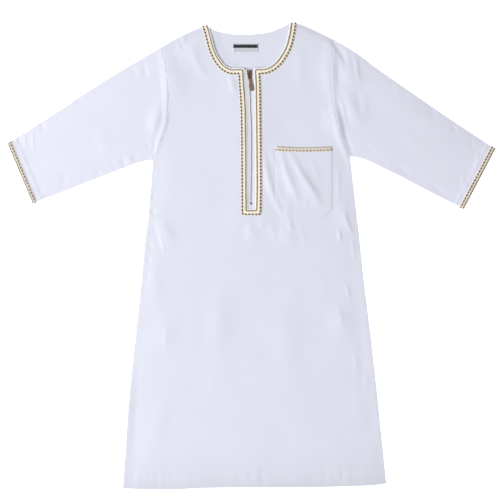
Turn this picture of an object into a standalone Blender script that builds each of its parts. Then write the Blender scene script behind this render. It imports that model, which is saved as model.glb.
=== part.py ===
"""Child's thobe robe, laid out flat on its back with the sleeves spread.

Frame: +X to the wearer's left, +Y towards the neck, +Z up. The origin is at the middle of the
robe's box, on the surface that it lies on. Every length below is in millimetres, and becomes
metres where a mesh is made. "right" and "left" are the wearer's.

The upper layer (front, sleeve tops) is a height field over the flat back: `upper_lift` gives the
room between the layers from the closed edges, the placket and a table of folds. What is sewn on
the front (braid, pocket) takes its points from the front's own mesh and moves them up.
"""

import math
from collections import namedtuple

import bmesh
import bpy
from mathutils import Vector
from mathutils.geometry import delaunay_2d_cdt, intersect_line_line_2d

MM = 0.001

# Cloth and gaps
WALL = 1.0                # thickness of every cloth wall and braid
GAP = 0.3                 # left between pieces that touch or are sewn together
UPPER_REST = WALL + GAP   # underside of the upper layer where it lies on the lower one

# How the upper layer stands off the lower one
SPREAD = 1.5              # room between the layers, away from the closed edges
ROLL = 34.0               # distance over which the cloth rises from a closed edge
PLACKET_LIFT = 2.5        # room that the zip needs under the placket
PLACKET_HALF = 24.0       # half-width of the stretch held up by the zip
PLACKET_EASE = 34.0       # distance over which the cloth falls back beside it

# Mesh steps
CHEST_STEP = 13.0         # point spacing on the chest, where the folds are
SKIRT_STEP = 21.0         # point spacing low on the skirt
EDGE_STEP = 15.0          # point spacing along the panels' edges
FOLD_STEP = 11.0          # point spacing along a fold
FOLD_CLEAR = 6.0          # between a fold's points and any other line
FOLD_FLANKS = (-0.5, 0.0, 0.5)   # lines of points on a fold, in half-widths from its crest
SLEEVE_ROWS = 17          # sections along a sleeve
SLEEVE_CROWDING = 1.35    # draws the sections together towards the armhole
ARMHOLE_COLUMNS = 12      # divisions across each layer of a sleeve
SLOT_PIECES = 20          # divisions down each side of the zip slot

# Trims
BRAID_INSET = 2.6         # bare cloth between the neck's or slot's edge and the braid
BRAID_WIDTH = 9.4         # neck and placket braid
BRAID_REACH = BRAID_INSET + BRAID_WIDTH
POCKET_BRAID_WIDTH = 8.4
CUFF_BRAID_WIDTH = 8.4
CUFF_RISE = WALL + GAP    # room under a sleeve's end for the braid that passes below it
CUFF_RISE_RUN = 14.0      # distance over which the sleeve's underside climbs to it
POCKET_CHAMFER = 17.0

# Zip
CHAIN_WIDTH = 4.0
CHAIN_BOTTOM, CHAIN_TOP = 2.5, 4.3
TAPE_BOTTOM, TAPE_TOP = 2.5, 3.5
TAPE_UNDERLAP = 6.0       # how far a tape goes under the front, past the slot's edge
PLATE = 0.9               # thickness of the slider's plates
HINGE = (-3.4, 346.6)     # where the pull tab's pin crosses the slider
HINGE_HEIGHT = 1.0        # of the pin's axis above the slider's top plate
SLIDER_LEAN = math.radians(3)
PULL_LEAN = math.radians(6)
PULL_DROOP = math.radians(3)
PULL_THICK = 1.0

SIDES = (("right", -1), ("left", 1))

# Half-outlines of the robe, by side. Each row is one point (x, y) down or along the edge.
SHOULDER = {
    "right": [(-82.9, 447.3), (-87.8, 451.8), (-94.4, 447.3), (-114.5, 439.6), (-146.5, 424.0),
              (-174.5, 407.6)],
    "left": [(74.9, 455.5), (82.9, 455.2), (102.6, 448.9), (133.6, 434.6), (161.9, 420.4)],
}
ARMHOLE = {
    "right": [(-174.5, 407.6), (-166.7, 374.4), (-162.8, 341.3), (-161.3, 310.1), (-163.2, 284.7),
              (-167.0, 255.5), (-174.5, 230.1), (-184.3, 208.6), (-192.5, 188.2)],
    "left": [(161.9, 420.4), (155.8, 382.0), (154.2, 341.3), (156.8, 310.1), (162.6, 282.0),
             (169.6, 253.5), (178.6, 226.2), (191.3, 195.0)],
}
SIDE_SEAM = {
    "right": [(-192.5, 188.2), (-194.8, 148.0), (-198.4, 109.0), (-201.2, 70.0), (-207.2, 31.0),
              (-214.3, -47.0), (-222.6, -125.0), (-230.8, -203.0), (-238.8, -281.0),
              (-244.4, -359.0), (-251.0, -454.0)],
    "left": [(191.3, 195.0), (196.8, 148.0), (201.4, 109.0), (205.6, 70.0), (210.4, 31.0),
             (218.2, -47.0), (227.9, -125.0), (237.0, -203.0), (245.6, -281.0),
             (253.6, -359.0), (262.3, -443.6)],
}
HEM = [(-251.0, -454.0), (-155.0, -455.5), (-100.0, -452.8), (-3.0, -451.4), (128.0, -450.8),
       (235.0, -447.5), (262.3, -443.6)]
BACK_NECK = [(-82.9, 447.3), (-80.9, 445.6), (-73.1, 440.5), (-65.3, 438.2), (-49.7, 435.2),
             (-34.1, 432.7), (-10.7, 432.1), (4.9, 433.1), (20.5, 434.3), (36.1, 437.2),
             (51.7, 443.4), (59.5, 446.2), (67.3, 450.5), (74.9, 455.5)]
FRONT_NECK = {
    "right": [(-82.9, 447.3), (-79.6, 436.8), (-77.6, 429.0), (-75.7, 421.2), (-73.7, 413.4),
              (-71.6, 405.6), (-68.3, 397.8), (-64.7, 390.0), (-59.7, 382.2), (-53.6, 374.5),
              (-45.8, 368.9), (-38.0, 366.2), (-30.2, 366.4), (-14.0, 366.4)],
    "left": [(74.9, 455.5), (72.5, 436.8), (70.8, 429.0), (69.1, 421.2), (66.9, 413.4),
             (64.0, 405.6), (59.7, 397.8), (55.0, 390.0), (49.3, 382.2), (40.0, 373.6),
             (32.2, 369.3), (24.4, 366.8), (12.7, 366.7), (3.8, 366.4)],
}
# Where the neck braid's two edges run out over the shoulders: its inner and its outer edge
BRAID_ENDS = {
    "right": [(-86.0, 452.5), (-95.0, 448.5)],
    "left": [(77.8, 457.0), (87.1, 456.0)],
}
SLEEVE_TOP = {
    "right": [(-174.5, 407.6), (-256.4, 359.4), (-318.8, 320.6), (-396.8, 268.7), (-475.4, 219.2)],
    "left": [(161.9, 420.4), (196.0, 400.4), (215.5, 387.6), (242.8, 366.2), (305.2, 322.8),
             (367.6, 279.8), (414.4, 248.4), (475.0, 208.6)],
}
SLEEVE_UNDER = {
    "right": [(-192.5, 188.2), (-215.0, 184.4), (-244.7, 173.8), (-291.5, 155.8),
              (-338.3, 137.7), (-385.1, 119.4), (-427.0, 103.4)],
    "left": [(191.3, 195.0), (219.4, 189.2), (266.2, 166.9), (313.0, 143.7), (359.8, 119.3),
             (414.0, 92.6)],
}

# The zip slot in the front: a row for each height, with the slot's two edges
SlotRow = namedtuple("SlotRow", "y right_edge left_edge")
SLOT = [
    SlotRow(366.4, -14.0, 3.8),
    SlotRow(333.5, -12.2, 5.5),
    SlotRow(312.0, -10.4, 5.9),
    SlotRow(281.0, -8.8, 6.2),
    SlotRow(226.0, -8.0, 6.8),
    SlotRow(173.5, -7.6, 7.3),
    SlotRow(128.7, -7.4, 7.4),
    SlotRow(91.8, -7.2, 6.6),
]
# The line that the zip's chain lies on
CHAIN_LINE = [(-3.9, 356.0), (-3.5, 349.0), (-3.2, 342.0), (-2.5, 315.0), (-1.4, 285.0),
              (0.1, 250.0), (0.0, 195.0), (-0.5, 140.0), (-1.0, 104.5)]

# The patch pocket's box, and its braid
POCKET = {"right_x": 46.5, "left_x": 158.5, "top": 213.9, "bottom": 73.2, "bow": 2.2}
LABEL = {"x": -11.7, "y": 405.6, "width": 49.0, "height": 17.5}

# Folds of the upper layer: each is a soft ridge from (x0, y0) to (x1, y1)
Fold = namedtuple("Fold", "x0 y0 x1 y1 half_width height")
FOLDS = [
    Fold(147.0, 306.0, 176.0, 218.0, 17.0, 4.0),     # body side of the left armhole
    Fold(146.0, 398.0, 147.0, 318.0, 20.0, 1.8),     # light ridge down the left breast
    Fold(57.0, 194.0, 98.0, 92.0, 13.0, 3.2),        # across the pocket
    Fold(82.0, 184.0, 138.0, 84.0, 14.0, 3.6),
    Fold(33.0, 172.0, 48.0, 108.0, 13.0, 2.8),       # between the placket and the pocket
    Fold(172.0, 108.0, 201.0, 36.0, 16.0, 2.8),      # left side, below the pocket
    Fold(60.0, 66.0, 84.0, 14.0, 13.0, 2.0),         # below the pocket
    Fold(0.0, 72.0, 6.0, 8.0, 13.0, 2.0),            # below the end of the placket
    Fold(-190.0, 78.0, -148.0, 14.0, 15.0, 2.8),     # right side, at the waist
    Fold(-190.0, 10.0, -198.0, -100.0, 14.0, 1.8),
    Fold(-46.0, 352.0, -30.0, 300.0, 12.0, 2.0),     # right of the placket's top
    Fold(-128.0, 424.0, -98.0, 370.0, 16.0, 2.0),    # right shoulder
    Fold(-178.0, 306.0, -192.0, 222.0, 16.0, 3.4),   # right sleeve, along the armhole seam
    Fold(-146.0, 384.0, -140.0, 290.0, 17.0, 1.8),   # right breast
    Fold(180.0, 392.0, 200.0, 320.0, 18.0, 2.8),     # left sleeve, below its top
    Fold(176.0, 338.0, 214.0, 244.0, 19.0, 3.2),
    Fold(-170.0, -100.0, -160.0, -200.0, 20.0, 1.8), # skirt
    Fold(160.0, -80.0, 186.0, -176.0, 20.0, 2.2),
    Fold(-60.0, -30.0, -66.0, -220.0, 28.0, 1.4),
    Fold(60.0, -60.0, 72.0, -270.0, 30.0, 1.4),
    Fold(-170.0, -260.0, -196.0, -400.0, 24.0, 1.4),
]

CLOTH = {"color": (0.86, 0.87, 0.93), "roughness": 0.85, "metallic": 0.0}
CLOTH_INSIDE = {"color": (0.82, 0.83, 0.89), "roughness": 0.85, "metallic": 0.0}
BRAID = {"color": (0.80, 0.66, 0.38), "roughness": 0.55, "metallic": 0.1}
TAPE = {"color": (0.88, 0.88, 0.92), "roughness": 0.8, "metallic": 0.0}
TEETH = {"color": (0.42, 0.42, 0.44), "roughness": 0.4, "metallic": 0.9}
GOLD = {"color": (0.46, 0.32, 0.16), "roughness": 0.35, "metallic": 0.9}
LABEL_CLOTH = {"color": (0.90, 0.90, 0.90), "roughness": 0.7, "metallic": 0.0}


# ---------------------------------------------------------------- curves

def smooth_through(points, step):
    """Points along a smooth curve through the given ones, about a step apart."""
    ends = [points[0]] + list(points) + [points[-1]]
    line = [Vector(points[0])]
    for before, start, end, after in zip(ends, ends[1:], ends[2:], ends[3:]):
        before, start, end, after = (Vector(p) for p in (before, start, end, after))
        pieces = max(1, round((end - start).length / step))
        for k in range(1, pieces + 1):
            t = k / pieces
            line.append(0.5 * (2 * start + (end - before) * t
                               + (2 * before - 5 * start + 4 * end - after) * t ** 2
                               + (3 * start - before - 3 * end + after) * t ** 3))
    return line


def at_fraction(line, fraction):
    """The point of a line at a fraction of its length."""
    lengths = [(b - a).length for a, b in zip(line, line[1:])]
    left = fraction * sum(lengths)
    for a, b, length in zip(line, line[1:], lengths):
        if left <= length:
            return a.lerp(b, left / length)
        left -= length
    return line[-1].copy()


def fractions(count):
    return [k / count for k in range(count + 1)]


def ease(t):
    t = min(1.0, max(0.0, t))
    return t * t * (3 - 2 * t)


def distance_to_line(point, line):
    nearest = math.inf
    for a, b in zip(line, line[1:]):
        along = b - a
        t = min(1.0, max(0.0, (point - a).dot(along) / along.length_squared))
        nearest = min(nearest, (point - a - along * t).length)
    return nearest


def inside(point, polygon):
    crossings = 0
    for a, b in zip(polygon, polygon[1:] + polygon[:1]):
        if (a.y > point.y) != (b.y > point.y):
            if point.x < a.x + (point.y - a.y) / (b.y - a.y) * (b.x - a.x):
                crossings += 1
    return crossings % 2 == 1


def slot_edges(y):
    """The slot's right and left edge at a height."""
    for upper, lower in zip(SLOT, SLOT[1:]):
        if y >= lower.y or lower is SLOT[-1]:
            t = min(1.0, max(0.0, (upper.y - y) / (upper.y - lower.y)))
            return (upper.right_edge + (lower.right_edge - upper.right_edge) * t,
                    upper.left_edge + (lower.left_edge - upper.left_edge) * t)


def offset_line(line, distance):
    """The line moved to its right-hand side, with mitred corners."""
    moved = []
    for k, point in enumerate(line):
        before = (point - line[k - 1]).normalized() if k > 0 else None
        after = (line[k + 1] - point).normalized() if k + 1 < len(line) else None
        before = before or after
        after = after or before
        normal = Vector((before.y, -before.x)) + Vector((after.y, -after.x))
        normal.normalize()
        moved.append(point + normal * distance / normal.dot(Vector((after.y, -after.x))))
    return moved


# ---------------------------------------------------------------- outlines

def armhole(side):
    """The armhole seam, from the shoulder down, at the fractions that the sleeve uses too."""
    seam = smooth_through(ARMHOLE[side], 3.0)
    return [at_fraction(seam, f) for f in fractions(ARMHOLE_COLUMNS)]


def side_edge(side):
    """One closed side of a body panel, from the neck down to the hem's corner."""
    shoulder = smooth_through(SHOULDER[side], EDGE_STEP)
    seam = smooth_through(SIDE_SEAM[side], EDGE_STEP)
    return shoulder + armhole(side)[1:-1] + seam


def slot_line():
    """The slot's edge, down its right side, across and up its left side."""
    heights = [SLOT[0].y + (SLOT[-1].y - SLOT[0].y) * f for f in fractions(SLOT_PIECES)]
    down = [Vector((slot_edges(y)[0], y)) for y in heights]
    up = [Vector((slot_edges(y)[1], y)) for y in reversed(heights)]
    return down + up


def neck_and_slot():
    """The front's cut edge, from the right shoulder to the left one."""
    right = smooth_through(FRONT_NECK["right"], 8.0)
    left = smooth_through(FRONT_NECK["left"], 8.0)
    return right[:-1] + slot_line() + left[-2::-1]


def body_outline(neck):
    hem = smooth_through(HEM, EDGE_STEP)
    return side_edge("right") + hem[1:-1] + side_edge("left")[::-1] + neck[::-1][1:-1]


def front_outline():
    return body_outline(neck_and_slot())


def back_outline():
    return body_outline(smooth_through(BACK_NECK, 8.0))


def without_loops(line):
    """The line with each small loop cut off where the line crosses itself."""
    made, k = line[:1], 0
    while k + 1 < len(line):
        past = k
        for j in range(k + 2, min(k + 7, len(line) - 1)):
            meeting = intersect_line_line_2d(line[k], line[k + 1], line[j], line[j + 1])
            if meeting:
                made.append(meeting)
                past = j
        if past == k:
            made.append(line[k + 1])
            past = k + 1
        k = past
    return made


def neck_braid_edges():
    """The neck braid's inner and outer edge, which run out past the shoulders' lines."""
    edges = []
    for k, distance in enumerate((BRAID_INSET, BRAID_REACH)):
        edge = without_loops(offset_line(neck_and_slot(), distance))
        ends = [Vector(BRAID_ENDS[side][k]) for side, _ in SIDES]
        edges.append(ends[:1] + edge[1:-1] + ends[1:])
    return edges


def pocket_outline():
    """The pocket's five-cornered patch with a top edge that bows down in the middle."""
    right, left = POCKET["right_x"], POCKET["left_x"]
    top, bottom = POCKET["top"], POCKET["bottom"]
    edge = []
    for f in fractions(9):
        edge.append(Vector((right + (left - right) * f, top - POCKET["bow"] * 4 * f * (1 - f))))
    corners = [(left, bottom + POCKET_CHAMFER), (left - POCKET_CHAMFER, bottom),
               (right + POCKET_CHAMFER, bottom), (right, bottom + POCKET_CHAMFER)]
    rim = edge[-1:] + [Vector(c) for c in corners] + edge[:1]
    lower = []
    for a, b in zip(rim, rim[1:]):
        pieces = max(1, round((b - a).length / EDGE_STEP))
        lower += [a.lerp(b, k / pieces) for k in range(1, pieces + 1)]
    return edge + lower[:-1], edge


def pocket_braid_outline():
    edge = pocket_outline()[1]
    return edge + offset_line(edge, POCKET_BRAID_WIDTH)[::-1]


def closed_edges():
    """The lines along which the upper and lower layers are one: folds and seams."""
    lines = []
    for side, _ in SIDES:
        for table in (SHOULDER, SIDE_SEAM, SLEEVE_TOP, SLEEVE_UNDER):
            lines.append(smooth_through(table[side], 20.0))
    return lines


# ---------------------------------------------------------------- the upper layer's height

CLOSED_EDGES = closed_edges()


def fold_height(point, fold):
    start = Vector((fold.x0, fold.y0))
    along = Vector((fold.x1, fold.y1)) - start
    t = (point - start).dot(along) / along.length_squared
    if t <= 0.0 or t >= 1.0:
        return 0.0
    across = (point - start - along * t).length / fold.half_width
    if across >= 1.0:
        return 0.0
    return fold.height * (1 - across ** 2) ** 2 * ease(2 * t) * ease(2 * (1 - t))


def upper_lift(point):
    """Room between the two layers at a place, past the gap that they always keep."""
    edge = min(distance_to_line(point, line) for line in CLOSED_EDGES)
    free = ease(edge / ROLL)
    lift = SPREAD * free
    lift += free * sum(fold_height(point, fold) for fold in FOLDS)
    middle = sum(slot_edges(point.y)) / 2
    beside = (abs(point.x - middle) - PLACKET_HALF) / PLACKET_EASE
    below = (SLOT[-1].y - 2 * BRAID_REACH - point.y) / PLACKET_EASE
    held = (1 - ease(beside)) * (1 - ease(below))
    return max(lift, lift + (PLACKET_LIFT - lift) * held)


def upper_underside(point):
    return UPPER_REST + upper_lift(point)


# ---------------------------------------------------------------- meshes and objects

def material(name, look):
    made = bpy.data.materials.new(name)
    made.use_nodes = True
    shader = made.node_tree.nodes["Principled BSDF"]
    shader.inputs["Base Color"].default_value = (*look["color"], 1.0)
    shader.inputs["Roughness"].default_value = look["roughness"]
    shader.inputs["Metallic"].default_value = look["metallic"]
    return made


def add_object(name, mesh_maker, look):
    """An object from a bmesh in millimetres."""
    bmesh.ops.recalc_face_normals(mesh_maker, faces=mesh_maker.faces)
    bmesh.ops.scale(mesh_maker, vec=(MM, MM, MM), verts=mesh_maker.verts)
    mesh = bpy.data.meshes.new(name)
    mesh_maker.to_mesh(mesh)
    mesh_maker.free()
    made = bpy.data.objects.new(name, mesh)
    made.data.materials.append(material(name, look))
    bpy.context.scene.collection.objects.link(made)
    return made


def sheet_points(outline, lines):
    """Rows of points inside an outline, closer on the chest, clear of the given lines."""
    low, high = min(p.y for p in outline), max(p.y for p in outline)
    left, right = min(p.x for p in outline), max(p.x for p in outline)
    points = []
    y, odd = high, False
    while y > low:
        step = CHEST_STEP + (SKIRT_STEP - CHEST_STEP) * ease((60.0 - y) / 160.0)
        y -= step * 0.87
        odd = not odd
        count = int((right - left) / step)
        for k in range(count):
            point = Vector((left + (k + (0.25 if odd else 0.75)) * (right - left) / count, y))
            if not inside(point, outline):
                continue
            if min(distance_to_line(point, line) for line in lines) > 0.5 * step:
                points.append(point)
    return points


def fold_lines(outline, lines):
    """Lines of points along each fold's crest and flanks, where they are clear of the rest."""
    made = []
    for fold in FOLDS:
        start = Vector((fold.x0, fold.y0))
        along = Vector((fold.x1, fold.y1)) - start
        across = Vector((along.y, -along.x)).normalized() * fold.half_width
        others = lines + made
        for flank in FOLD_FLANKS:
            run = []
            for f in fractions(round(along.length / FOLD_STEP)):
                point = start + along * f + across * flank
                near = min(distance_to_line(point, line) for line in others)
                if inside(point, outline) and near > FOLD_CLEAR:
                    run.append(point)
                elif len(run) > 1:
                    made.append(run)
                    run = []
            if len(run) > 1:
                made.append(run)
    return made


def triangulate(outline, inner_lines):
    """Triangles that fill an outline and have the inner lines among their edges."""
    loop = outline + outline[:1]
    lines = [loop] + inner_lines
    lines += fold_lines(outline, lines)
    points, edges = [], []
    for line in lines:
        first = len(points)
        points += line
        edges += [(first + k, first + k + 1) for k in range(len(line) - 1)]
    points += sheet_points(outline, lines)
    points, _, faces, _, _, _ = delaunay_2d_cdt(points, edges, [], 0, 0.01)
    kept = []
    for face in faces:
        centre = sum((points[k] for k in face), Vector((0, 0))) / 3
        if inside(centre, outline):
            kept.append(tuple(face))
    return points, kept


def wall_from_triangles(points, faces, underside, thickness):
    """A closed wall over flat triangles, with its underside at the given height."""
    maker = bmesh.new()
    used = sorted({k for face in faces for k in face})
    low, high = {}, {}
    for k in used:
        z = underside(points[k])
        low[k] = maker.verts.new((points[k].x, points[k].y, z))
        high[k] = maker.verts.new((points[k].x, points[k].y, z + thickness))
    border = {}
    for face in faces:
        maker.faces.new([high[k] for k in face])
        maker.faces.new([low[k] for k in reversed(face)])
        for a, b in zip(face, face[1:] + face[:1]):
            border[(a, b)] = None
    for a, b in border:
        if (b, a) not in border:
            maker.faces.new([low[a], low[b], high[b], high[a]])
    return maker


def part_of(points, faces, outline):
    """The triangles whose middle lies in an outline."""
    return [f for f in faces if inside(sum((points[k] for k in f), Vector((0, 0))) / 3, outline)]


def tube(outer_rings, inner_rings):
    """A closed wall between two sets of rings, with open ends."""
    maker = bmesh.new()
    walls = []
    for rings in (outer_rings, inner_rings):
        walls.append([[maker.verts.new(p) for p in ring] for ring in rings])
    for wall in walls:
        for a, b in zip(wall, wall[1:]):
            bridge(maker, a, b)
    for end in (0, -1):
        bridge(maker, walls[0][end], walls[1][end])
    return maker


def bridge(maker, ring_a, ring_b):
    count = len(ring_a)
    for k in range(count):
        n = (k + 1) % count
        maker.faces.new([ring_a[k], ring_a[n], ring_b[n], ring_b[k]])


def box(low, high):
    """A bmesh box between two corners."""
    maker = bmesh.new()
    bmesh.ops.create_cube(maker, size=1.0)
    size = [h - l for l, h in zip(low, high)]
    middle = [(h + l) / 2 for l, h in zip(low, high)]
    bmesh.ops.scale(maker, vec=size, verts=maker.verts)
    bmesh.ops.translate(maker, vec=middle, verts=maker.verts)
    return maker


def extruded(outline, low, high):
    """A flat outline as a plate between two heights."""
    maker = bmesh.new()
    face = maker.faces.new([maker.verts.new((x, y, low)) for x, y in outline])
    grown = bmesh.ops.extrude_face_region(maker, geom=[face], use_keep_orig=True)
    moved = [v for v in grown["geom"] if isinstance(v, bmesh.types.BMVert)]
    bmesh.ops.translate(maker, vec=(0, 0, high - low), verts=moved)
    return maker


def helper(name, maker):
    """A guide solid for a Boolean: never part of the robe itself."""
    made = add_object(name, maker, GOLD)
    made.hide_render = True
    made.display_type = "WIRE"
    return made


def add_boolean(target, other, operation):
    boolean = target.modifiers.new(other.name, "BOOLEAN")
    boolean.operation = operation
    boolean.object = other
    boolean.solver = "EXACT"


# ---------------------------------------------------------------- the robe's pieces

def make_body():
    """Front with its braid and pocket, and back with its label."""
    inner_edge, outer_edge = neck_braid_edges()
    braid = inner_edge + outer_edge[::-1]
    pocket, pocket_top = pocket_outline()
    pocket_braid = pocket_braid_outline()
    inner = [inner_edge, outer_edge, pocket + pocket[:1],
             offset_line(pocket_top, POCKET_BRAID_WIDTH)]
    points, faces = triangulate(front_outline(), inner)

    layers = (
        ("front_panel", faces, 0.0, CLOTH),
        ("neck_placket_braid", part_of(points, faces, braid), WALL + GAP, BRAID),
        ("chest_pocket", part_of(points, faces, pocket), WALL + GAP, CLOTH),
        ("pocket_braid", part_of(points, faces, pocket_braid), 2 * (WALL + GAP), BRAID),
    )
    for name, triangles, above, look in layers:
        maker = wall_from_triangles(
            points, triangles, lambda p, above=above: upper_underside(p) + above, WALL)
        add_object(name, maker, look)

    outline = back_outline()
    add_object("back_panel", extruded([tuple(p) for p in outline], 0.0, WALL), CLOTH_INSIDE)
    half = Vector((LABEL["width"] / 2, LABEL["height"] / 2))
    low = (LABEL["x"] - half.x, LABEL["y"] - half.y, WALL + GAP)
    high = (LABEL["x"] + half.x, LABEL["y"] + half.y, 2 * WALL + GAP)
    add_object("neck_label", box(low, high), LABEL_CLOTH)


def sleeve_grid(side):
    """Plan places of a sleeve: a patch between armhole, cuff and the two folded edges."""
    seam = armhole(side)
    top = smooth_through(SLEEVE_TOP[side], 10.0)
    under = smooth_through(SLEEVE_UNDER[side], 10.0)
    outward = (top[-1] - top[0]).normalized()

    def place(s, t):
        across = at_fraction(top, s).lerp(at_fraction(under, s), t)
        seam_bow = at_fraction(seam, t) + outward * GAP - top[0].lerp(under[0], t)
        return across + seam_bow * (1 - s)

    return place


def sleeve_stations(length):
    """Sections along a sleeve: closer at the armhole, and again at the cuff."""
    braid = 1 - CUFF_BRAID_WIDTH / length
    rise = 1 - (CUFF_BRAID_WIDTH + CUFF_RISE_RUN) / length
    even = [rise * f ** SLEEVE_CROWDING for f in fractions(SLEEVE_ROWS)]
    return even + [(rise + braid) / 2, braid, 1.0], rise, braid


def section_ring(place, s, width, inset, bottom, out):
    """One ring of a flattened tube: over the top layer, round, and back under it.

    inset is the wall left outside this ring, 0 for the outer face, and out moves it outwards.
    """
    corner = (inset + 0.6 * WALL) / width
    edge = (inset - out) / width
    inner = [corner + (1 - 2 * corner) * f for f in fractions(ARMHOLE_COLUMNS)]
    floor = bottom + inset - out
    top, under = [], []
    for t in inner:
        where = place(s, t)
        roof = bottom + upper_underside(where) + WALL - inset + out
        top.append((where.x, where.y, roof))
        under.append((where.x, where.y, floor))
    ends = []
    for t, near in ((1 - edge, -1), (edge, 0)):
        where = place(s, t)
        ends.append((where.x, where.y, (top[near][2] + floor) / 2))
    return top + ends[:1] + under[::-1] + ends[1:]


def make_sleeve(side):
    """A sleeve as one flattened tube, and the braid round its end."""
    place = sleeve_grid(side)
    length = (place(1, 0.5) - place(0, 0.5)).length
    stations, rise, braid = sleeve_stations(length)

    def ring(s, inset, out=0.0):
        bottom = CUFF_RISE * ease((s - rise) / (braid - rise))
        width = (place(s, 1) - place(s, 0)).length
        return section_ring(place, s, width, inset, bottom, out)

    outer = [ring(s, 0.0) for s in stations]
    inner = [ring(s, WALL) for s in stations]
    add_object(f"sleeve_{side}", tube(outer, inner), CLOTH)

    ends = stations[-2:]
    outer = [ring(s, 0.0, GAP + WALL) for s in ends]
    inner = [ring(s, 0.0, GAP) for s in ends]
    add_object(f"cuff_braid_{side}", tube(outer, inner), BRAID)


def strip_along(line, low_side, high_side, low, high):
    """A bar that follows a line in plan; each side gives its x at a point of the line."""
    maker = bmesh.new()
    rows = []
    for p in line:
        a, b = low_side(p), high_side(p)
        rows.append([maker.verts.new(v) for v in
                     ((a, p.y, low), (b, p.y, low), (b, p.y, high), (a, p.y, high))])
    for a, b in zip(rows, rows[1:]):
        bridge(maker, a, b)
    maker.faces.new(rows[0])
    maker.faces.new(rows[-1])
    return maker


def make_zip():
    """Two tapes, the closed chain between them and its stops."""
    line = smooth_through(CHAIN_LINE, 14.0)
    bottom = SLOT[-1].y - BRAID_REACH
    tape_line = [Vector((line[0].x, SLOT[0].y))] + line + [Vector((line[-1].x, bottom))]
    inner = CHAIN_WIDTH / 2 + GAP
    tapes = (
        ("right", lambda p: slot_edges(p.y)[0] - TAPE_UNDERLAP, lambda p: p.x - inner),
        ("left", lambda p: p.x + inner, lambda p: slot_edges(p.y)[1] + TAPE_UNDERLAP),
    )
    for side, low_side, high_side in tapes:
        maker = strip_along(tape_line, low_side, high_side, TAPE_BOTTOM, TAPE_TOP)
        add_object(f"zip_tape_{side}", maker, TAPE)

    half = CHAIN_WIDTH / 2
    closed = line[1:]     # the first point lies past the end of the closed teeth
    maker = strip_along(closed, lambda p: p.x - half, lambda p: p.x + half,
                        CHAIN_BOTTOM, CHAIN_TOP)
    add_object("zip_chain", maker, TEETH)
    end = line[-1]
    low = (end.x - half, end.y - GAP - 4.0, CHAIN_BOTTOM)
    high = (end.x + half, end.y - GAP, CHAIN_TOP + 0.6)
    add_object("zip_stop_bottom", box(low, high), TEETH)


def make_slider_and_pull():
    """The slider on the chain, and its pull tab on the bridge's pin."""
    frame = bpy.data.objects.new("zip_frame", None)
    plate_top = CHAIN_TOP + GAP + PLATE
    frame.location = Vector((*HINGE, plate_top + HINGE_HEIGHT)) * MM
    frame.rotation_euler = (0.0, 0.0, SLIDER_LEAN)
    bpy.context.scene.collection.objects.link(frame)
    axis = plate_top + HINGE_HEIGHT      # heights below are measured from the pin's axis

    edge = [(3.1, -3.6), (3.1, 0.5), (4.9, 9.6), (4.6, 11.3), (2.4, 11.7), (1.1, 13.4),
            (0.5, 16.0)]        # one side, from the mouth to the nose between the stops
    shield = [(-x, y) for x, y in edge] + [(x, y) for x, y in reversed(edge)]
    top = extruded(shield, -HINGE_HEIGHT - PLATE, -HINGE_HEIGHT)
    slider = add_object("zip_slider", top, GOLD)
    slider.parent = frame
    under = CHAIN_BOTTOM - GAP - axis
    inner = CHAIN_WIDTH / 2 + GAP + 0.1
    flange = TAPE_TOP + GAP - axis
    arch = [(-2.1, -HINGE_HEIGHT - 0.4), (-2.1, 1.1), (-1.5, 1.7), (1.5, 1.7), (2.1, 1.1),
            (2.1, -HINGE_HEIGHT - 0.4), (1.1, -HINGE_HEIGHT - 0.4), (1.1, 0.9), (-1.1, 0.9),
            (-1.1, -HINGE_HEIGHT - 0.4)]
    bridge_maker = extruded(arch, -0.8, 0.8)
    turn = ((0, 0, 1), (1, 0, 0), (0, 1, 0))     # the arch's outline stands along the zip
    for vert in bridge_maker.verts:
        vert.co = Vector([vert.co.dot(Vector(row)) for row in turn])
    parts = (
        ("slider_bridge", bridge_maker),
        ("slider_post", box((-1.3, 4.6, under - 0.4), (1.3, 9.8, -HINGE_HEIGHT - 0.4))),
        ("slider_under", extruded(shield, under - 0.8, under)),
        ("slider_flange_right", box((-3.1, -3.6, flange), (-inner, 0.5, -HINGE_HEIGHT - 0.4))),
        ("slider_flange_left", box((inner, -3.6, flange), (3.1, 0.5, -HINGE_HEIGHT - 0.4))),
    )
    for name, maker in parts:
        piece = helper(name, maker)
        piece.parent = frame
        add_boolean(slider, piece, "UNION")

    half_widths = [(0.5, 2.2), (-3.4, 2.5), (-8.0, 3.0), (-15.0, 4.3), (-21.5, 5.0),
                   (-24.4, 4.5), (-25.2, 3.1)]
    tab = [(-w, y) for y, w in half_widths] + [(w, y) for y, w in reversed(half_widths)]
    pull = add_object("zip_pull", extruded(tab, -PULL_THICK / 2, PULL_THICK / 2), GOLD)
    eye = helper("pull_eye", box((-1.6, -3.3, -PULL_THICK), (1.6, -0.5, PULL_THICK)))
    add_boolean(pull, eye, "DIFFERENCE")
    for piece in (pull, eye):
        piece.parent = frame
        piece.rotation_euler = (PULL_DROOP, 0.0, PULL_LEAN)


def make_top_stops():
    """The two rows' ends, which spread above the slider."""
    middle = CHAIN_LINE[0][0] - 0.2
    for side, sign in SIDES:
        outline = [(middle + sign * x, y) for x, y in
                   ((2.5, 358.9), (4.9, 358.6), (5.6, 361.8), (4.5, 363.4), (2.7, 361.4))]
        maker = extruded(outline, TAPE_TOP + GAP, TAPE_TOP + GAP + 1.6)
        add_object(f"zip_stop_top_{side}", maker, GOLD)


def main():
    for old in list(bpy.data.objects):
        bpy.data.objects.remove(old, do_unlink=True)
    make_body()
    for side, _ in SIDES:
        make_sleeve(side)
    make_zip()
    make_slider_and_pull()
    make_top_stops()


main()
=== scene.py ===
import math

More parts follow.
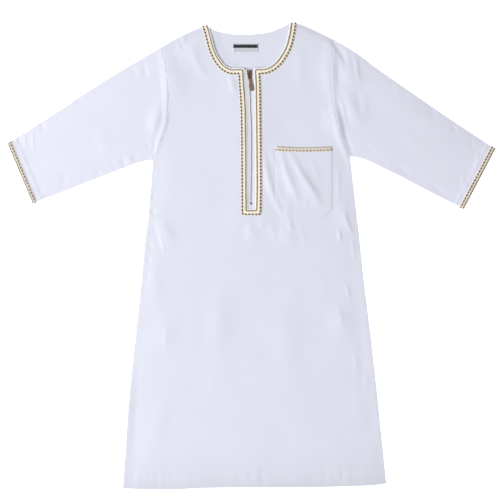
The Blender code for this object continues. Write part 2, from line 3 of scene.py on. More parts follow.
import bmesh
import bpy
from mathutils import Matrix, Vector, noise
from mathutils.bvhtree import BVHTree
from mathutils.kdtree import KDTree


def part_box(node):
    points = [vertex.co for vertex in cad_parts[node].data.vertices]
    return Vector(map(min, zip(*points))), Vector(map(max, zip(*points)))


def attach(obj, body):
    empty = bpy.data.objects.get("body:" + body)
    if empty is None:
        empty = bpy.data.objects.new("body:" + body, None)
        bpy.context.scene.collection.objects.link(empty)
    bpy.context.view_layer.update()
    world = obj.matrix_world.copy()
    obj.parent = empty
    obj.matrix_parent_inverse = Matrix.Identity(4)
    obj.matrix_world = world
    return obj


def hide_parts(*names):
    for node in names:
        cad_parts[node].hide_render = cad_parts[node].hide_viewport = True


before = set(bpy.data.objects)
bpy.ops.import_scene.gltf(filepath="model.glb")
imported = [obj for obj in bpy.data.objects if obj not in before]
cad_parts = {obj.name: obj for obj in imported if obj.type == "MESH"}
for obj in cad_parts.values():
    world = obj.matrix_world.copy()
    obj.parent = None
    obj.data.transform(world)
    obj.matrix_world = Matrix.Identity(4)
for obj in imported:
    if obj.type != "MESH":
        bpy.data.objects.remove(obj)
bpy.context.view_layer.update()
mm = 0.001
weld = 0.02 * mm   # vertices closer than this are one
up = Vector((0, 0, 1))
print("frame loaded:", len(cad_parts), "solids")


# Lines: tables give them in mm, and they are kept in metres

def ease(t):
    t = min(1.0, max(0.0, t))
    return t * t * (3 - 2 * t)


def placesOf(points):
    return [Vector((*point, 0.0)) * mm for point in points]


def route(points, step=2.0):   # a smooth line through a table's points
    places = placesOf(points)
    ends = [places[0]] + places + [places[-1]]
    line = [places[0].copy()]
    for before, start, end, after in zip(ends, ends[1:], ends[2:], ends[3:]):
        pieces = max(1, round((end - start).length / (step * mm)))
        for k in range(1, pieces + 1):
            t = k / pieces
            line.append(0.5 * (2 * start + (end - before) * t
                               + (2 * before - 5 * start + 4 * end - after) * t ** 2
                               + (3 * start - before - 3 * end + after) * t ** 3))
    return line


def flat(place):
    return Vector((place.x, place.y, 0))


def stepsOf(line):
    return [(b - a).length for a, b in zip(line, line[1:])]


def evenly(line, pitch, closed=False):   # even places on a line, each with its direction
    line = line + line[:1] if closed else line
    lengths = stepsOf(line)
    count = max(1, round(sum(lengths) / pitch))
    step = sum(lengths) / count
    places, done, k = [], 0.0, 0
    for n in range(count if closed else count + 1):
        wanted = min(n * step, sum(lengths) - 1e-9)
        while done + lengths[k] < wanted:
            done += lengths[k]
            k += 1
        a, b = line[k], line[k + 1]
        places.append((a.lerp(b, (wanted - done) / lengths[k]), (b - a).normalized()))
    return places


def movedOut(line, distance):   # the line moved to its right-hand side, with mitred corners
    moved = []
    for k, place in enumerate(line):
        before = (place - line[k - 1]).normalized() if k else None
        after = (line[k + 1] - place).normalized() if k + 1 < len(line) else None
        before, after = before or after, after or before
        right = Vector((after.y, -after.x, 0))
        middle = (Vector((before.y, -before.x, 0)) + right).normalized()
        moved.append(place + middle * distance / max(0.4, middle.dot(right)))
    return moved


def relaxed(line, rounds):   # takes the sharpness off a line's corners
    for _ in range(rounds):
        line = (line[:1] + [a.lerp(c, 0.5).lerp(b, 0.5)
                            for a, b, c in zip(line, line[1:], line[2:])] + line[-1:])
    return line


def nearOn(line, place):   # (distance, share of the way along, side) of a place from a line
    best = (1e9, 0.0, 1.0)
    total = len(line) - 1
    for k in range(total):
        a, b = line[k], line[k + 1]
        along = b - a
        t = min(1.0, max(0.0, (place - a).dot(along) / along.length_squared))
        off = place - a - along * t
        if off.length < best[0]:
            side = 1.0 if along.x * off.y - along.y * off.x > 0 else -1.0
            best = (off.length, (k + t) / total, side)
    return best


# Shader nodes and the groups that several materials share

def addNode(tree, kind, inputs, **settings):   # gives its outputs; inputs are values or links
    node = tree.nodes.new("ShaderNode" + kind)
    for name, value in settings.items():
        setattr(node, name, value)
    for name, value in inputs.items():
        if isinstance(value, bpy.types.NodeSocket):
            tree.links.new(value, node.inputs[name])
        else:
            node.inputs[name].default_value = value
    return node.outputs


def joinMath(tree, operation, first, second=0.0, third=0.0):
    return addNode(tree, "Math", {0: first, 1: second, 2: third}, operation=operation)[0]


def noiseOf(tree, vector, scale, detail):
    return addNode(tree, "TexNoise", {"Vector": vector, "Scale": scale, "Detail": detail})["Fac"]


def stretched(tree, vector, scale):
    return addNode(tree, "Mapping", {"Vector": vector, "Scale": scale})[0]


def makeGroup(name, given, wanted, build):   # given and wanted: rows of (name, kind, value)
    group = bpy.data.node_groups.new(name, "ShaderNodeTree")
    for way, rows in (("INPUT", given), ("OUTPUT", wanted)):
        for label, kind, value in rows:
            socket = group.interface.new_socket(name=label, in_out=way,
                                                socket_type="NodeSocket" + kind)
            if value is not None:
                socket.default_value = value
    start, end = group.nodes.new("NodeGroupInput"), group.nodes.new("NodeGroupOutput")
    for label, result in build(group, start.outputs).items():
        group.links.new(result, end.inputs[label])
    return group


def buildWeave(tree, given):   # over-and-under threads, with thicker and thinner ones
    parts = addNode(tree, "SeparateXYZ", {0: given["Vector"]})
    turns = joinMath(tree, "MULTIPLY", given["Threads"], math.pi)
    across, along = (joinMath(tree, "SINE", joinMath(tree, "MULTIPLY", parts[axis], turns))
                     for axis in ("X", "Y"))
    over = joinMath(tree, "MULTIPLY", across, along)
    warp, weft = (joinMath(tree, "MULTIPLY", joinMath(tree, "ABSOLUTE", thread),
                           joinMath(tree, "MULTIPLY_ADD", over, share, 0.5))
                  for thread, share in ((across, 0.5), (along, -0.5)))
    slubs = [noiseOf(tree, stretched(tree, given["Vector"], scale), 1.0, 3.0)
             for scale in ((420.0, 9.0, 1.0), (9.0, 420.0, 1.0))]
    return {"Height": joinMath(tree, "MAXIMUM", warp, weft),
            "Slub": joinMath(tree, "MULTIPLY_ADD", slubs[0], 0.5,
                             joinMath(tree, "MULTIPLY", slubs[1], 0.5))}


def buildWear(tree, given):   # rubbed places and fine scratches
    blotches = noiseOf(tree, given["Vector"], given["Size"], 4.0)
    drawn = stretched(tree, given["Vector"], (6.0, 0.7, 1.0))
    scratches = noiseOf(tree, drawn, given["Size"], 6.0)
    both = joinMath(tree, "MULTIPLY_ADD", blotches, 0.6,
                    joinMath(tree, "MULTIPLY", scratches, 0.4))
    return {"Mask": addNode(tree, "MapRange", {"From Min": 0.38, "From Max": 0.62,
                                               "Value": both})[0]}


weaveGroup = makeGroup("threadWeave", [("Vector", "Vector", None), ("Threads", "Float", 2400.0)],
                       [("Height", "Float", None), ("Slub", "Float", None)], buildWeave)
wearGroup = makeGroup("rubbedWear", [("Vector", "Vector", None), ("Size", "Float", 600.0)],
                      [("Mask", "Float", None)], buildWear)


def newMaterial(name, look):
    made = bpy.data.materials.new(name)
    made.use_nodes = True
    tree = made.node_tree
    sockets = tree.nodes["Principled BSDF"].inputs
    for socket, value in (
            ("Base Color", (*look["colour"], 1.0)), ("Roughness", look["roughness"]),
            ("Metallic", look.get("metallic", 0.0)), ("Sheen Weight", look.get("sheen", 0.0)),
            ("Sheen Roughness", 0.45), ("Specular IOR Level", 0.3)):
        sockets[socket].default_value = value
    return made, tree, sockets


def placeOf(tree, source="Object", turn=0.0):
    place = addNode(tree, "TexCoord", {})[source]
    if turn:
        place = addNode(tree, "Mapping", {"Vector": place,
                                          "Rotation": (0.0, 0.0, math.radians(turn))})[0]
    return place


colourSockets = {"A": 6, "B": 7, "Result": 2}   # of a Mix node set to colours


def mixColours(tree, mask, *colours):
    inputs = {"Factor": mask}
    for side, colour in zip("AB", colours):
        isLink = isinstance(colour, bpy.types.NodeSocket)
        inputs[colourSockets[side]] = colour if isLink else (*colour, 1.0)
    return addNode(tree, "Mix", inputs, data_type="RGBA")[colourSockets["Result"]]


def bumpFrom(tree, sockets, height, distance):
    bump = addNode(tree, "Bump", {"Strength": 1.0, "Distance": distance, "Height": height})
    tree.links.new(bump[0], sockets["Normal"])


def wovenCloth(name, look, source="Object", turn=0.0):
    made, tree, sockets = newMaterial(name, look)
    place = placeOf(tree, source, turn)
    weave = addNode(tree, "Group", {"Threads": look["threads"], "Vector": place},
                    node_tree=weaveGroup)
    cloud = noiseOf(tree, place, look.get("cloudScale", 14.0), 3.0)
    tone = joinMath(tree, "MULTIPLY_ADD", weave["Height"], 0.34,
                    joinMath(tree, "MULTIPLY_ADD", weave["Slub"], 0.40,
                             joinMath(tree, "MULTIPLY", cloud, 0.40)))
    mixed = mixColours(tree, tone, look["shade"], look["colour"])
    if look.get("doubledAndShade"):   # darker where an allowance lies doubled under the cloth, and painted shade near the outer edges and towards the hem
        allowanceShade = addNode(tree, "Attribute", {}, attribute_name="allowanceShade")
        mixed = mixColours(tree, allowanceShade["Fac"], mixed, look["doubledAndShade"])
    tree.links.new(mixed, sockets["Base Color"])
    tree.links.new(joinMath(tree, "MULTIPLY_ADD", weave["Slub"], 0.16, look["roughness"] - 0.08),
                   sockets["Roughness"])
    relief = joinMath(tree, "MULTIPLY_ADD", weave["Slub"], 0.8, weave["Height"])
    bumpFrom(tree, sockets, relief, look["threadDepth"])
    return made


def rubbedMaterial(name, look, swing, middle):   # paler and smoother where it is rubbed
    made, tree, sockets = newMaterial(name, look)
    rubbed = addNode(tree, "Group", {"Size": look["wearSize"], "Vector": placeOf(tree)},
                     node_tree=wearGroup)["Mask"]
    tree.links.new(mixColours(tree, rubbed, look["shade"], look["colour"]), sockets["Base Color"])
    tree.links.new(joinMath(tree, "MULTIPLY_ADD", rubbed, -swing, look["roughness"] + middle),
                   sockets["Roughness"])
    bumpFrom(tree, sockets, rubbed, look["relief"])
    return made


def rubbedSet(rows, swing, middle):
    # rows: name, colour, shade, roughness, metallic, how fine the wear is, its relief in mm
    return {name: rubbedMaterial(name, {
        "colour": colour, "shade": shade, "roughness": roughness, "metallic": metallic,
        "wearSize": wearSize, "relief": relief * mm}, swing, middle)
            for name, colour, shade, roughness, metallic, wearSize, relief in rows}


# the last colour is darker, for doubled allowances and for painted shade along the edges and the
# hem
cottonLook = {"colour": (0.755, 0.768, 0.858), "shade": (0.665, 0.678, 0.775), "roughness": 0.82,
              "sheen": 0.12, "threads": 2300.0, "threadDepth": 0.022 * mm,
              "doubledAndShade": (0.50, 0.505, 0.565)}
cottonBody = wovenCloth("cottonBody", cottonLook)
# the turned neck edge, painted paler than the body's cloth as a highlight
facingClothHighlight = wovenCloth("facingClothHighlight", dict(cottonLook, colour=(0.92, 0.92, 0.95),
                                             shade=(0.84, 0.84, 0.89), doubledAndShade=None))
# the sleeves: the body's cloth painted a little paler, as painted light
litSleeveCotton = dict(cottonLook, colour=(0.778, 0.782, 0.875), shade=(0.686, 0.690, 0.790))
litCottonSleeveRight, litCottonSleeveLeft = (
    wovenCloth("cottonSleeveLit" + side, litSleeveCotton, turn=turn)
    for side, turn in (("Right", -31.0), ("Left", 31.0)))   # in degrees, along each sleeve
print("cloth materials made")


# Pieces made from meshes

def meshPiece(name, parts, material, body="garment", smooth=True):
    mesh = bpy.data.meshes.new(name)
    for face in parts.faces:
        face.smooth = smooth
    parts.to_mesh(mesh)
    parts.free()
    piece = bpy.data.objects.new(name, mesh)
    piece.data.materials.append(material)
    bpy.context.scene.collection.objects.link(piece)
    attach(piece, body)
    return piece


def addWall(piece, thickness):   # the outer face stays where it is
    wall = piece.modifiers.new("wall", "SOLIDIFY")
    wall.thickness = thickness
    wall.offset = -1.0


def upwards(place):
    return up


def stripPiece(name, lines, offsets, material, thickness, closed=False, liftOf=upwards):
    # a thin strip through lines with equal numbers of places
    strip = bmesh.new()
    course = strip.loops.layers.uv.new("course")
    rows, marks = [], {}
    for line, offset in zip(lines, offsets):
        verts, gone = [], 0.0
        for k, place in enumerate(line):
            gone += (place - line[k - 1]).length if k else 0.0
            verts.append(strip.verts.new(place))
            marks[verts[-1]] = (gone, offset)
        pairs = list(zip(verts, verts[1:])) + ([(verts[-1], verts[0])] if closed else [])
        rows.append([strip.edges.new(pair) for pair in pairs])
    for a, b in zip(rows, rows[1:]):
        bmesh.ops.bridge_loops(strip, edges=a + b)
    for face in strip.faces:
        for corner in face.loops:
            corner[course].uv = marks[corner.vert]
    strip.normal_update()
    middle = strip.faces[:][len(strip.faces) // 2]
    if middle.normal.dot(liftOf(middle.calc_center_median())) < 0:
        bmesh.ops.reverse_faces(strip, faces=strip.faces)
    piece = meshPiece(name, strip, material)
    addWall(piece, thickness)
    return piece


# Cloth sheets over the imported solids

def surveyOf(nodeName):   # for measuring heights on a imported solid
    solid = bmesh.new()
    solid.from_mesh(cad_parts[nodeName].data)
    tree = BVHTree.FromBMesh(solid)
    solid.free()
    return tree


# three rings of places, as shares of a reach: (share, how many)
around = [(math.cos(math.tau * k / n) * r, math.sin(math.tau * k / n) * r)
          for r, n in ((0.35, 6), (0.7, 10), (1.0, 14)) for k in range(n)]
farOff = 0.1   # a height that every solid lies below


def readHeight(tree, x, y, fromBelow=False):   # None where the solid isn't
    start = Vector((x, y, -farOff if fromBelow else farOff))
    hit = tree.ray_cast(start, up if fromBelow else -up)[0]
    return None if hit is None else hit.z


def heightOn(tree, place, fromBelow=False, blur=0.0):
    # the height at a place, or the mean of the heights round it
    own = readHeight(tree, place.x, place.y, fromBelow)
    if own is not None and not blur:
        return own
    reach = blur or 0.25 * mm
    found = [own] + [readHeight(tree, place.x + dx * reach, place.y + dy * reach, fromBelow)
                     for dx, dy in around]
    found = [height for height in found if height is not None]
    if found:
        return sum(found) / len(found)
    return tree.find_nearest(Vector((place.x, place.y, 4 * mm)))[0].z


def laidOn(surface, line, above=0.0):   # the line put on a surface, or this far above it
    return [Vector((p.x, p.y, heightOn(surface, p) + above)) for p in line]


def borderOf(sheet):
    return [e for e in sheet.edges if len(e.link_faces) == 1]


def flatSheet(nodeName, cell, fine=()):
    # the solid's outline as a flat sheet of small squares, halved where fine gives ranges of x
    sheet = bmesh.new()
    sheet.from_mesh(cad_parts[nodeName].data)
    bmesh.ops.remove_doubles(sheet, verts=sheet.verts, dist=weld)
    sheet.normal_update()
    bmesh.ops.delete(sheet, geom=[f for f in sheet.faces if f.normal.z < 0.4], context="FACES")
    islands, left = [], set(sheet.faces)
    while left:
        island, waiting = set(), [left.pop()]
        while waiting:
            face = waiting.pop()
            island.add(face)
            beside = {other for edge in face.edges for other in edge.link_faces} & left
            left -= beside
            waiting += beside
        islands.append(island)
    kept = max(islands, key=lambda faces: (sum(f.calc_center_median().z for f in faces)
                                           / len(faces)))   # the highest one
    bmesh.ops.delete(sheet, geom=[f for f in sheet.faces if f not in kept], context="FACES")
    for vert in sheet.verts:
        vert.co.z = 0.0
    bmesh.ops.dissolve_faces(sheet, faces=sheet.faces[:])
    for axis in (1, 0):
        way = Vector((1 - axis, axis, 0))
        low, high = (pick(v.co[axis] for v in sheet.verts) for pick in (min, max))
        levels = [low + k * cell for k in range(1, int((high - low) / cell) + 1)]
        if axis == 0:
            levels += [x - cell / 2 for x in levels if any(a < x < b for a, b in fine)]
        for level in levels:
            geom = set()
            for face in sheet.faces:
                places = [v.co[axis] for v in face.verts]
                if min(places) < level < max(places):
                    geom.update([face, *face.edges, *face.verts])
            bmesh.ops.bisect_plane(sheet, geom=list(geom), dist=weld,
                                   plane_co=way * level, plane_no=way)
    sheet.normal_update()
    return sheet


def addCreases(verts, creases):
    # each crease: its line, half-width on its left and on its right, height (a trough is minus)
    for points, leftWidth, rightWidth, height in creases:
        line = route(points, 6.0)
        reach = max(leftWidth, rightWidth) * mm
        lows = [min(p[k] for p in line) - reach for k in (0, 1)]
        highs = [max(p[k] for p in line) + reach for k in (0, 1)]
        for vert in verts:
            if not (lows[0] < vert.co.x < highs[0] and lows[1] < vert.co.y < highs[1]):
                continue
            distance, share, side = nearOn(line, flat(vert.co))
            width = (leftWidth if side > 0 else rightWidth) * mm
            if distance < width:
                taper = ease(2.2 * share) * ease(2.2 * (1 - share))
                vert.co.z += height * mm * (1 - (distance / width) ** 2) ** 2 * taper


def addUnevenness(verts, size, height, seed):   # the cloth's own slight ripple
    for vert in verts:
        place = Vector((vert.co.x / size, vert.co.y / size, seed))
        vert.co.z += height * noise.noise(place)


def markAllowanceShade(sheet, edges, rows):
    # how far the allowance and the painted shade along some edges show: (distance, share) rows,
    # falling to nothing
    layer = sheet.verts.layers.float.get("allowanceShade") or sheet.verts.layers.float.new("allowanceShade")
    spots = [v.co.copy() for v in {v for e in edges for v in e.verts}]
    spots += [(e.verts[0].co + e.verts[1].co) / 2 for e in edges]
    near = KDTree(len(spots))
    for k, spot in enumerate(spots):
        near.insert(flat(spot), k)
    near.balance()
    for vert in sheet.verts:
        distance = near.find(flat(vert.co))[2] / mm
        for (d0, a), (d1, b) in zip(rows, rows[1:]):
            if d0 <= distance < d1:
                share = a + (b - a) * (distance - d0) / (d1 - d0)
                vert[layer] = max(vert[layer], share)


def sheetPiece(name, sheet, thickness, material):
    bmesh.ops.triangulate(sheet, faces=[f for f in sheet.faces if len(f.verts) > 4])
    for edge in sheet.edges:
        edge.smooth = len(edge.link_faces) > 1
    piece = meshPiece(name, sheet, material)
    addWall(piece, thickness)
    return piece


def outwardOf(sheet):   # which way is out, for each vertex on the border
    ways = {}
    for edge in borderOf(sheet):
        a, b = edge.verts
        along = (b.co - a.co).normalized()
        out = Vector((along.y, -along.x, 0))
        if out.dot(edge.link_faces[0].calc_center_median() - a.co) > 0:
            out = -out
        for vert in edge.verts:
            ways[vert] = ways.get(vert, Vector((0, 0, 0))) + out
    return {vert: way.normalized() for vert, way in ways.items()}


def turnDown(sheet, edges, steps):   # rolls a closed edge over, by (out, height) steps
    ways = outwardOf(sheet)
    known = {spotOf(v): (v.co.copy(), ways[v]) for e in edges for v in e.verts}
    for out, level in steps:
        grown = bmesh.ops.extrude_edge_only(sheet, edges=edges)["geom"]
        edges = [e for e in grown if isinstance(e, bmesh.types.BMEdge)]
        moved = {}
        for vert in (v for v in grown if isinstance(v, bmesh.types.BMVert)):
            root, way = known[spotOf(vert)]
            vert.co = Vector((root.x, root.y, level(root))) + way * out
            moved[spotOf(vert)] = (root, way)
        known = moved
    return edges


def spotOf(vert):
    return tuple(round(c * 1e7) for c in vert.co)


seamLip = [(0.13 * mm, lambda root: root.z - 0.15 * mm),
           (0.14 * mm, lambda root: root.z - 0.6 * mm)]


# Armholes, where the three parts of the upper layer meet: (x, y) down each of them
armholes = {
    "right": [(-174.5, 407.6), (-166.7, 374.4), (-162.8, 341.3), (-161.3, 310.1), (-163.2, 284.7),
              (-167.0, 255.5), (-174.5, 230.1), (-184.3, 208.6), (-192.5, 188.2)],
    "left": [(161.9, 420.4), (155.8, 382.0), (154.2, 341.3), (156.8, 310.1), (162.6, 282.0),
             (169.6, 253.5), (178.6, 226.2), (191.3, 195.0)],
}
armholeLines = {side: route(points, 4.0) for side, points in armholes.items()}
armholeRange = (130 * mm, 240 * mm)   # how far from the middle they and their blending lie


seamCreases = {   # these run over the armholes, on the front and the sleeve alike
    "right": [
        ([(-178.4, 429), (-167.7, 382.2), (-162.2, 333.4), (-161.8, 300.3), (-165.8, 269.1)],
         26, 17, 1.62),
        ([(-164.8, 335.4), (-166.3, 280.8), (-168.3, 257.4), (-175.9, 234), (-185.6, 204.8),
          (-193, 171.6)], 6.5, 9, 1.43),
        ([(-186.2, 226.2), (-193, 191.1)], 4, 4, -0.91),
    ],
    "left": [
        ([(155, 444.6), (156, 358.8), (157, 288.6)], 14, 22, 1.62),
        ([(155, 347.1), (160.9, 292.5), (167.7, 259.7), (175.1, 228.7), (190.1, 191.1),
          (203.8, 159.9)], 14, 13, 2.08),
        ([(166.3, 308.1), (177.4, 259.7), (184.5, 228.7), (198.9, 191.1),
          (211.6, 156)], 8, 9, -1.3),
        ([(145.3, 432.9), (167.7, 404.6), (179.4, 386.1), (186.2, 358.8)], 9, 6, -1.62),
        ([(165.8, 321.8), (175.5, 298.3), (181.3, 273), (185.2, 249.6)], 5, 7, 1.04),
    ],
}


def levelsDown(side):   # one level for the front and the sleeve, eased down the armhole
    trees = [surveyOf(node) for node in ("front_panel", "sleeve_" + side)]
    levels = [sum(heightOn(tree, place, blur=11 * mm) for tree in trees) / 2
              for place in armholeLines[side]]
    for _ in range(6):
        beside = [levels[max(k - 1, 0):k + 2] for k in range(len(levels))]
        levels = [sum(group) / len(group) for group in beside]
    return levels


seamLevels = {side: levelsDown(side) for side in armholes}


def sideOf(place):
    return "right" if place.x < 0 else "left"


def levelled(place, height):   # both layers come to that level where they meet
    if not armholeRange[0] <= abs(place.x) <= armholeRange[1]:
        return height
    side = sideOf(place)
    gap, share, _ = nearOn(armholeLines[side], flat(place))
    at = share * (len(seamLevels[side]) - 1)
    k = min(int(at), len(seamLevels[side]) - 2)
    a, b = seamLevels[side][k:k + 2]
    return height + (a + (b - a) * (at - k) - height) * (1 - ease(gap / (18 * mm)))


def onArmhole(vert, reach=0.9 * mm):
    return nearOn(armholeLines[sideOf(vert.co)], flat(vert.co))[0] < reach


def shapedSheet(nodeName, look, creases):   # the upper layer of the front or of a sleeve
    sheet = flatSheet(nodeName, look["cell"], look["fine"])
    survey = surveyOf(nodeName)
    for vert in sheet.verts:
        vert.co.z = levelled(vert.co, heightOn(survey, vert.co, blur=look["blur"]))
    addCreases(sheet.verts, look["creases"] + creases)
    addUnevenness(sheet.verts, 70 * mm, 0.45 * mm, 2.0)
    return sheet


frontHemLook = {   # widths are shares of the hem's depth
    "reach": 6, "band": 0.4 * mm, "bandFade": 0.22, "dip": 0.35 * mm, "dipWidth": 0.16,
    "ripples": [(1.0, 15 * mm, (1, 0)), (0.5, 6 * mm, (1, 3))],
    "puckers": 0.7 * mm, "puckerFade": 2.4,
}
frontLook = {
    "cell": 4.0 * mm,
    "fine": [(-200 * mm, -146 * mm), (142 * mm, 204 * mm)],
    "thickness": 0.7 * mm,
    "hemDepth": 15.6 * mm,
    "hemTop": -443 * mm,   # the hem's edge lies below this, and nothing else of the border does
    "neck": {"halfWidth": 84 * mm, "bottom": 60 * mm, "top": 449 * mm},
    "blur": 11.0 * mm,
    "creases": [
        # pocket
        ([(50.7, 237.9), (59.5, 202.8), (67.3, 165.8), (79.4, 134.5), (90.7, 109.2),
          (100.4, 80)], 7, 9, 1.37),
        ([(61.4, 235.9), (75.1, 202.8), (86.8, 181.3), (103, 152.1), (121.9, 124.8),
          (134.5, 99.5), (141.4, 74.1)], 7, 10, 1.62),
        ([(17.6, 226.2), (25.3, 191.1), (31.8, 156), (41.9, 120.9), (55.6, 91.6),
          (71.2, 54.6)], 8, 10, 1.76),
        ([(49.7, 148.2), (64.3, 103.3), (76, 66.3), (80.9, 39)], 5, 7, 0.91),
        ([(36.1, 214.5), (42.9, 191.1), (47.8, 167.7)], 4, 5, 0.78),
        ([(68.2, 120.9), (78, 83.8)], 5, 6, 0.78),
        ([(102.4, 119), (111.1, 81.9)], 5, 7, 0.65),
        ([(71.2, 70.2), (80.9, 44.9)], 4.5, 6, 1.17),
        ([(118, 191.1), (129.7, 152.1), (137.5, 128.7)], 8, 9, 0.52),
        # below the pocket and the placket
        ([(-4.9, 74.1), (-1, 31.2)], 10, 12, 0.65),
        ([(22.4, 76), (19.5, 48.8)], 6, 7, 0.65),
        ([(-20.5, 74.1), (-26.3, 52.6)], 6, 6, 0.39),
        ([(36.1, 66.3), (47.8, 31.2)], 6, 8, 0.65),
        ([(94.6, 60.4), (106.3, 19.5)], 7, 8, 0.52),
        # left side
        ([(168.7, 52.6), (175.5, 27.3)], 4, 5, 1.3),
        ([(178.4, 93.6), (188.2, 62.4), (200.8, 35.1)], 6, 9, 1.04),
        ([(169.7, 175.5), (170.6, 105.3)], 5, 7, 0.52),
        ([(196, 39), (201.8, -11.7)], 5, 6, 0.65),
        ([(164.8, -89.7), (174.5, -119), (175.5, -150.2)], 6, 8, 0.39),
        ([(202.8, -187.2), (204.8, -239.8)], 7, 8, 0.59),
        ([(223.3, -218.4), (225.2, -269.1)], 5, 6, 0.65),
        ([(184.3, -50.7), (192.1, -85.8)], 5, 6, 0.65),
        ([(235, -358.8), (238.9, -417.3)], 10, 10, 0.33),
        # right side
        ([(-196.9, 72.1), (-185.2, 42.9), (-178.4, 9.8)], 6, 6, -0.39),
        ([(-182.3, 46.8), (-173.5, 25.3), (-168.7, 0)], 4.5, 6, 0.49),
        ([(-197.9, 157.9), (-184.3, 159.9)], 5, 5, -1.04),
        ([(-198.9, 117), (-184.3, 115)], 6, 5, -1.04),
        ([(-200.8, 87.8), (-184.3, 85.8)], 5, 5, -1.69),
        ([(-203.8, 25.3), (-192.1, 17.6)], 5, 5, -0.91),
        ([(-205.7, -3.9), (-194, -13.7)], 5, 5, -1.04),
        ([(-209.6, -31.2), (-197.9, -40.9)], 5, 5, -0.91),
        ([(-166.7, -134.5), (-167.7, -191.1)], 7, 7, 0.33),
        ([(-242.8, -183.3), (-242.8, -280.8), (-252.5, -417.3), (-254.5, -475.8)], 20, 40, 1.95),
        ([(-235, -358.8), (-233, -425.1)], 10, 10, 0.26),
        ([(203.8, 70.2), (223.3, -85.8), (246.7, -280.8), (262.3, -436.8)], 44, 24, 1.17),
        # shoulders and chest
        ([(-133.6, 434.8), (-128.7, 407.6)], 4.5, 7, 1.17),
        ([(-145.3, 423.1), (-138.4, 395.8)], 4.5, 6, 0.91),
        ([(-43.9, 354.9), (-36.1, 335.4), (-30.2, 312)], 6, 8, 1.43),
        ([(-123.8, 413.4), (-94.6, 358.8), (-73.1, 339.3)], 9, 11, 0.78),
        ([(94.6, 413.4), (94.6, 323.7)], 14, 14, 0.52),
        # skirt
        ([(-57.5, -85.8), (-69.2, -202.8), (-80.9, -339.3)], 26, 26, 0.25),
        ([(71.2, -11.7), (79, -144.3), (94.6, -319.8)], 28, 26, 0.25),
        ([(-108.2, -66.3), (-119.9, -183.3)], 18, 18, 0.25),
        ([(129.7, -11.7), (141.4, -85.8)], 18, 18, 0.25),
        ([(6.8, -144.3), (4.9, -319.8)], 26, 26, 0.2),
    ],
}


def isLower(edge):   # an edge of the border that runs along the hem's edge
    return max(v.co.y for v in edge.verts) < frontLook["hemTop"]


def isHem(edge):
    a, b = edge.verts
    return isLower(edge) and abs(a.co.x - b.co.x) > abs(a.co.y - b.co.y)


def levelOf(line, x):   # the line's y at an x
    for a, b in zip(line, line[1:]):
        if a.x <= x <= b.x and b.x > a.x:
            return a.y + (b.y - a.y) * (x - a.x) / (b.x - a.x)
    return line[0].y if x < line[0].x else line[-1].y


def raiseHem(sheet, look, depth, measure):   # a hem's folded band, stitch line and puckers
    # measure(place) gives the place's distance from the edge, and along it
    for vert in sheet.verts:
        distance, along = measure(vert.co)
        share = distance / depth
        if share > look["reach"]:
            continue
        ripple = sum(height * noise.noise(Vector((along / length, *seed)))
                     for height, length, seed in look["ripples"])
        vert.co.z += look["band"] * (1 - ease((share - 0.93) / look["bandFade"]))
        vert.co.z -= look["dip"] * (1 - min(1.0, abs(share - 1.0) / look["dipWidth"]))
        if "ridge" in look:   # cloth pushed up beside the stitches
            height, more, at, width = look["ridge"]
            vert.co.z += (height + more * ripple) * (1 - ease(abs(share - at) / width))
        fade = ease(1 - abs(share - 1.0) / (1.0 if share < 1 else look["puckerFade"]))
        vert.co.z += look["puckers"] * ripple * fade


def isOpening(edge):   # on the neck or on the zip's slot
    neck = frontLook["neck"]
    middle = (edge.verts[0].co + edge.verts[1].co) / 2
    return abs(middle.x) < neck["halfWidth"] and neck["bottom"] < middle.y < neck["top"]


def markFrontShade(sheet, closed):   # painted shade along its shoulders and towards the hem, with the allowances: rows of (mm from the edge, share)
    shoulders = [e for e in closed if e.verts[0].co.y > 400 * mm]
    # painted shade, strongest on the left shoulder, the side away from the lamp
    for side, shares in (("left", (0.1, 0.46, 0.36, 0.1, 0.0)),
                         ("right", (0.0, 0.08, 0.06, 0.1, 0.0))):
        markAllowanceShade(sheet, [e for e in shoulders if sideOf(e.verts[0].co) == side],
                      list(zip((0, 3, 6, 10, 16), shares)))
    # painted shade, darkening the skirt up to 85 mm above its edge, well past the hem
    markAllowanceShade(sheet, [e for e in borderOf(sheet) if isLower(e)], [
        (0, 0.2), (3, 0.36), (7, 0.3), (11, 0.24), (15, 0.19), (25, 0.14), (50, 0.07), (85, 0)])


def makeFront():
    sheet = shapedSheet("front_panel", frontLook, seamCreases["right"] + seamCreases["left"])
    addUnevenness(sheet.verts, 24 * mm, 0.12 * mm, 7.0)
    border = borderOf(sheet)
    hem = sorted((v.co.copy() for v in {v for e in border if isHem(e) for v in e.verts}),
                 key=lambda place: place.x)
    raiseHem(sheet, frontHemLook, frontLook["hemDepth"],
             lambda place: (place.y - levelOf(hem, place.x), place.x))
    surface = BVHTree.FromBMesh(sheet)
    seams = [e for e in border if all(map(onArmhole, e.verts))]
    closed = [e for e in border if not (isHem(e) or isOpening(e) or e in seams)]
    markFrontShade(sheet, closed)
    turnDown(sheet, seams, seamLip)
    turnDown(sheet, closed, [
        (0.35 * mm, lambda root: root.z - 0.12 * mm),
        (0.45 * mm, lambda root: 0.8 * root.z),
        (0.4 * mm, lambda root: 0.35 * mm),
    ])
    piece = sheetPiece("frontPanel", sheet, frontLook["thickness"], cottonBody)
    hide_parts("front_panel")
    return piece, surface, hem


frontPanel, frontSurface, frontHem = makeFront()
print("front panel made")


# The neck and the zip's slot, in mm

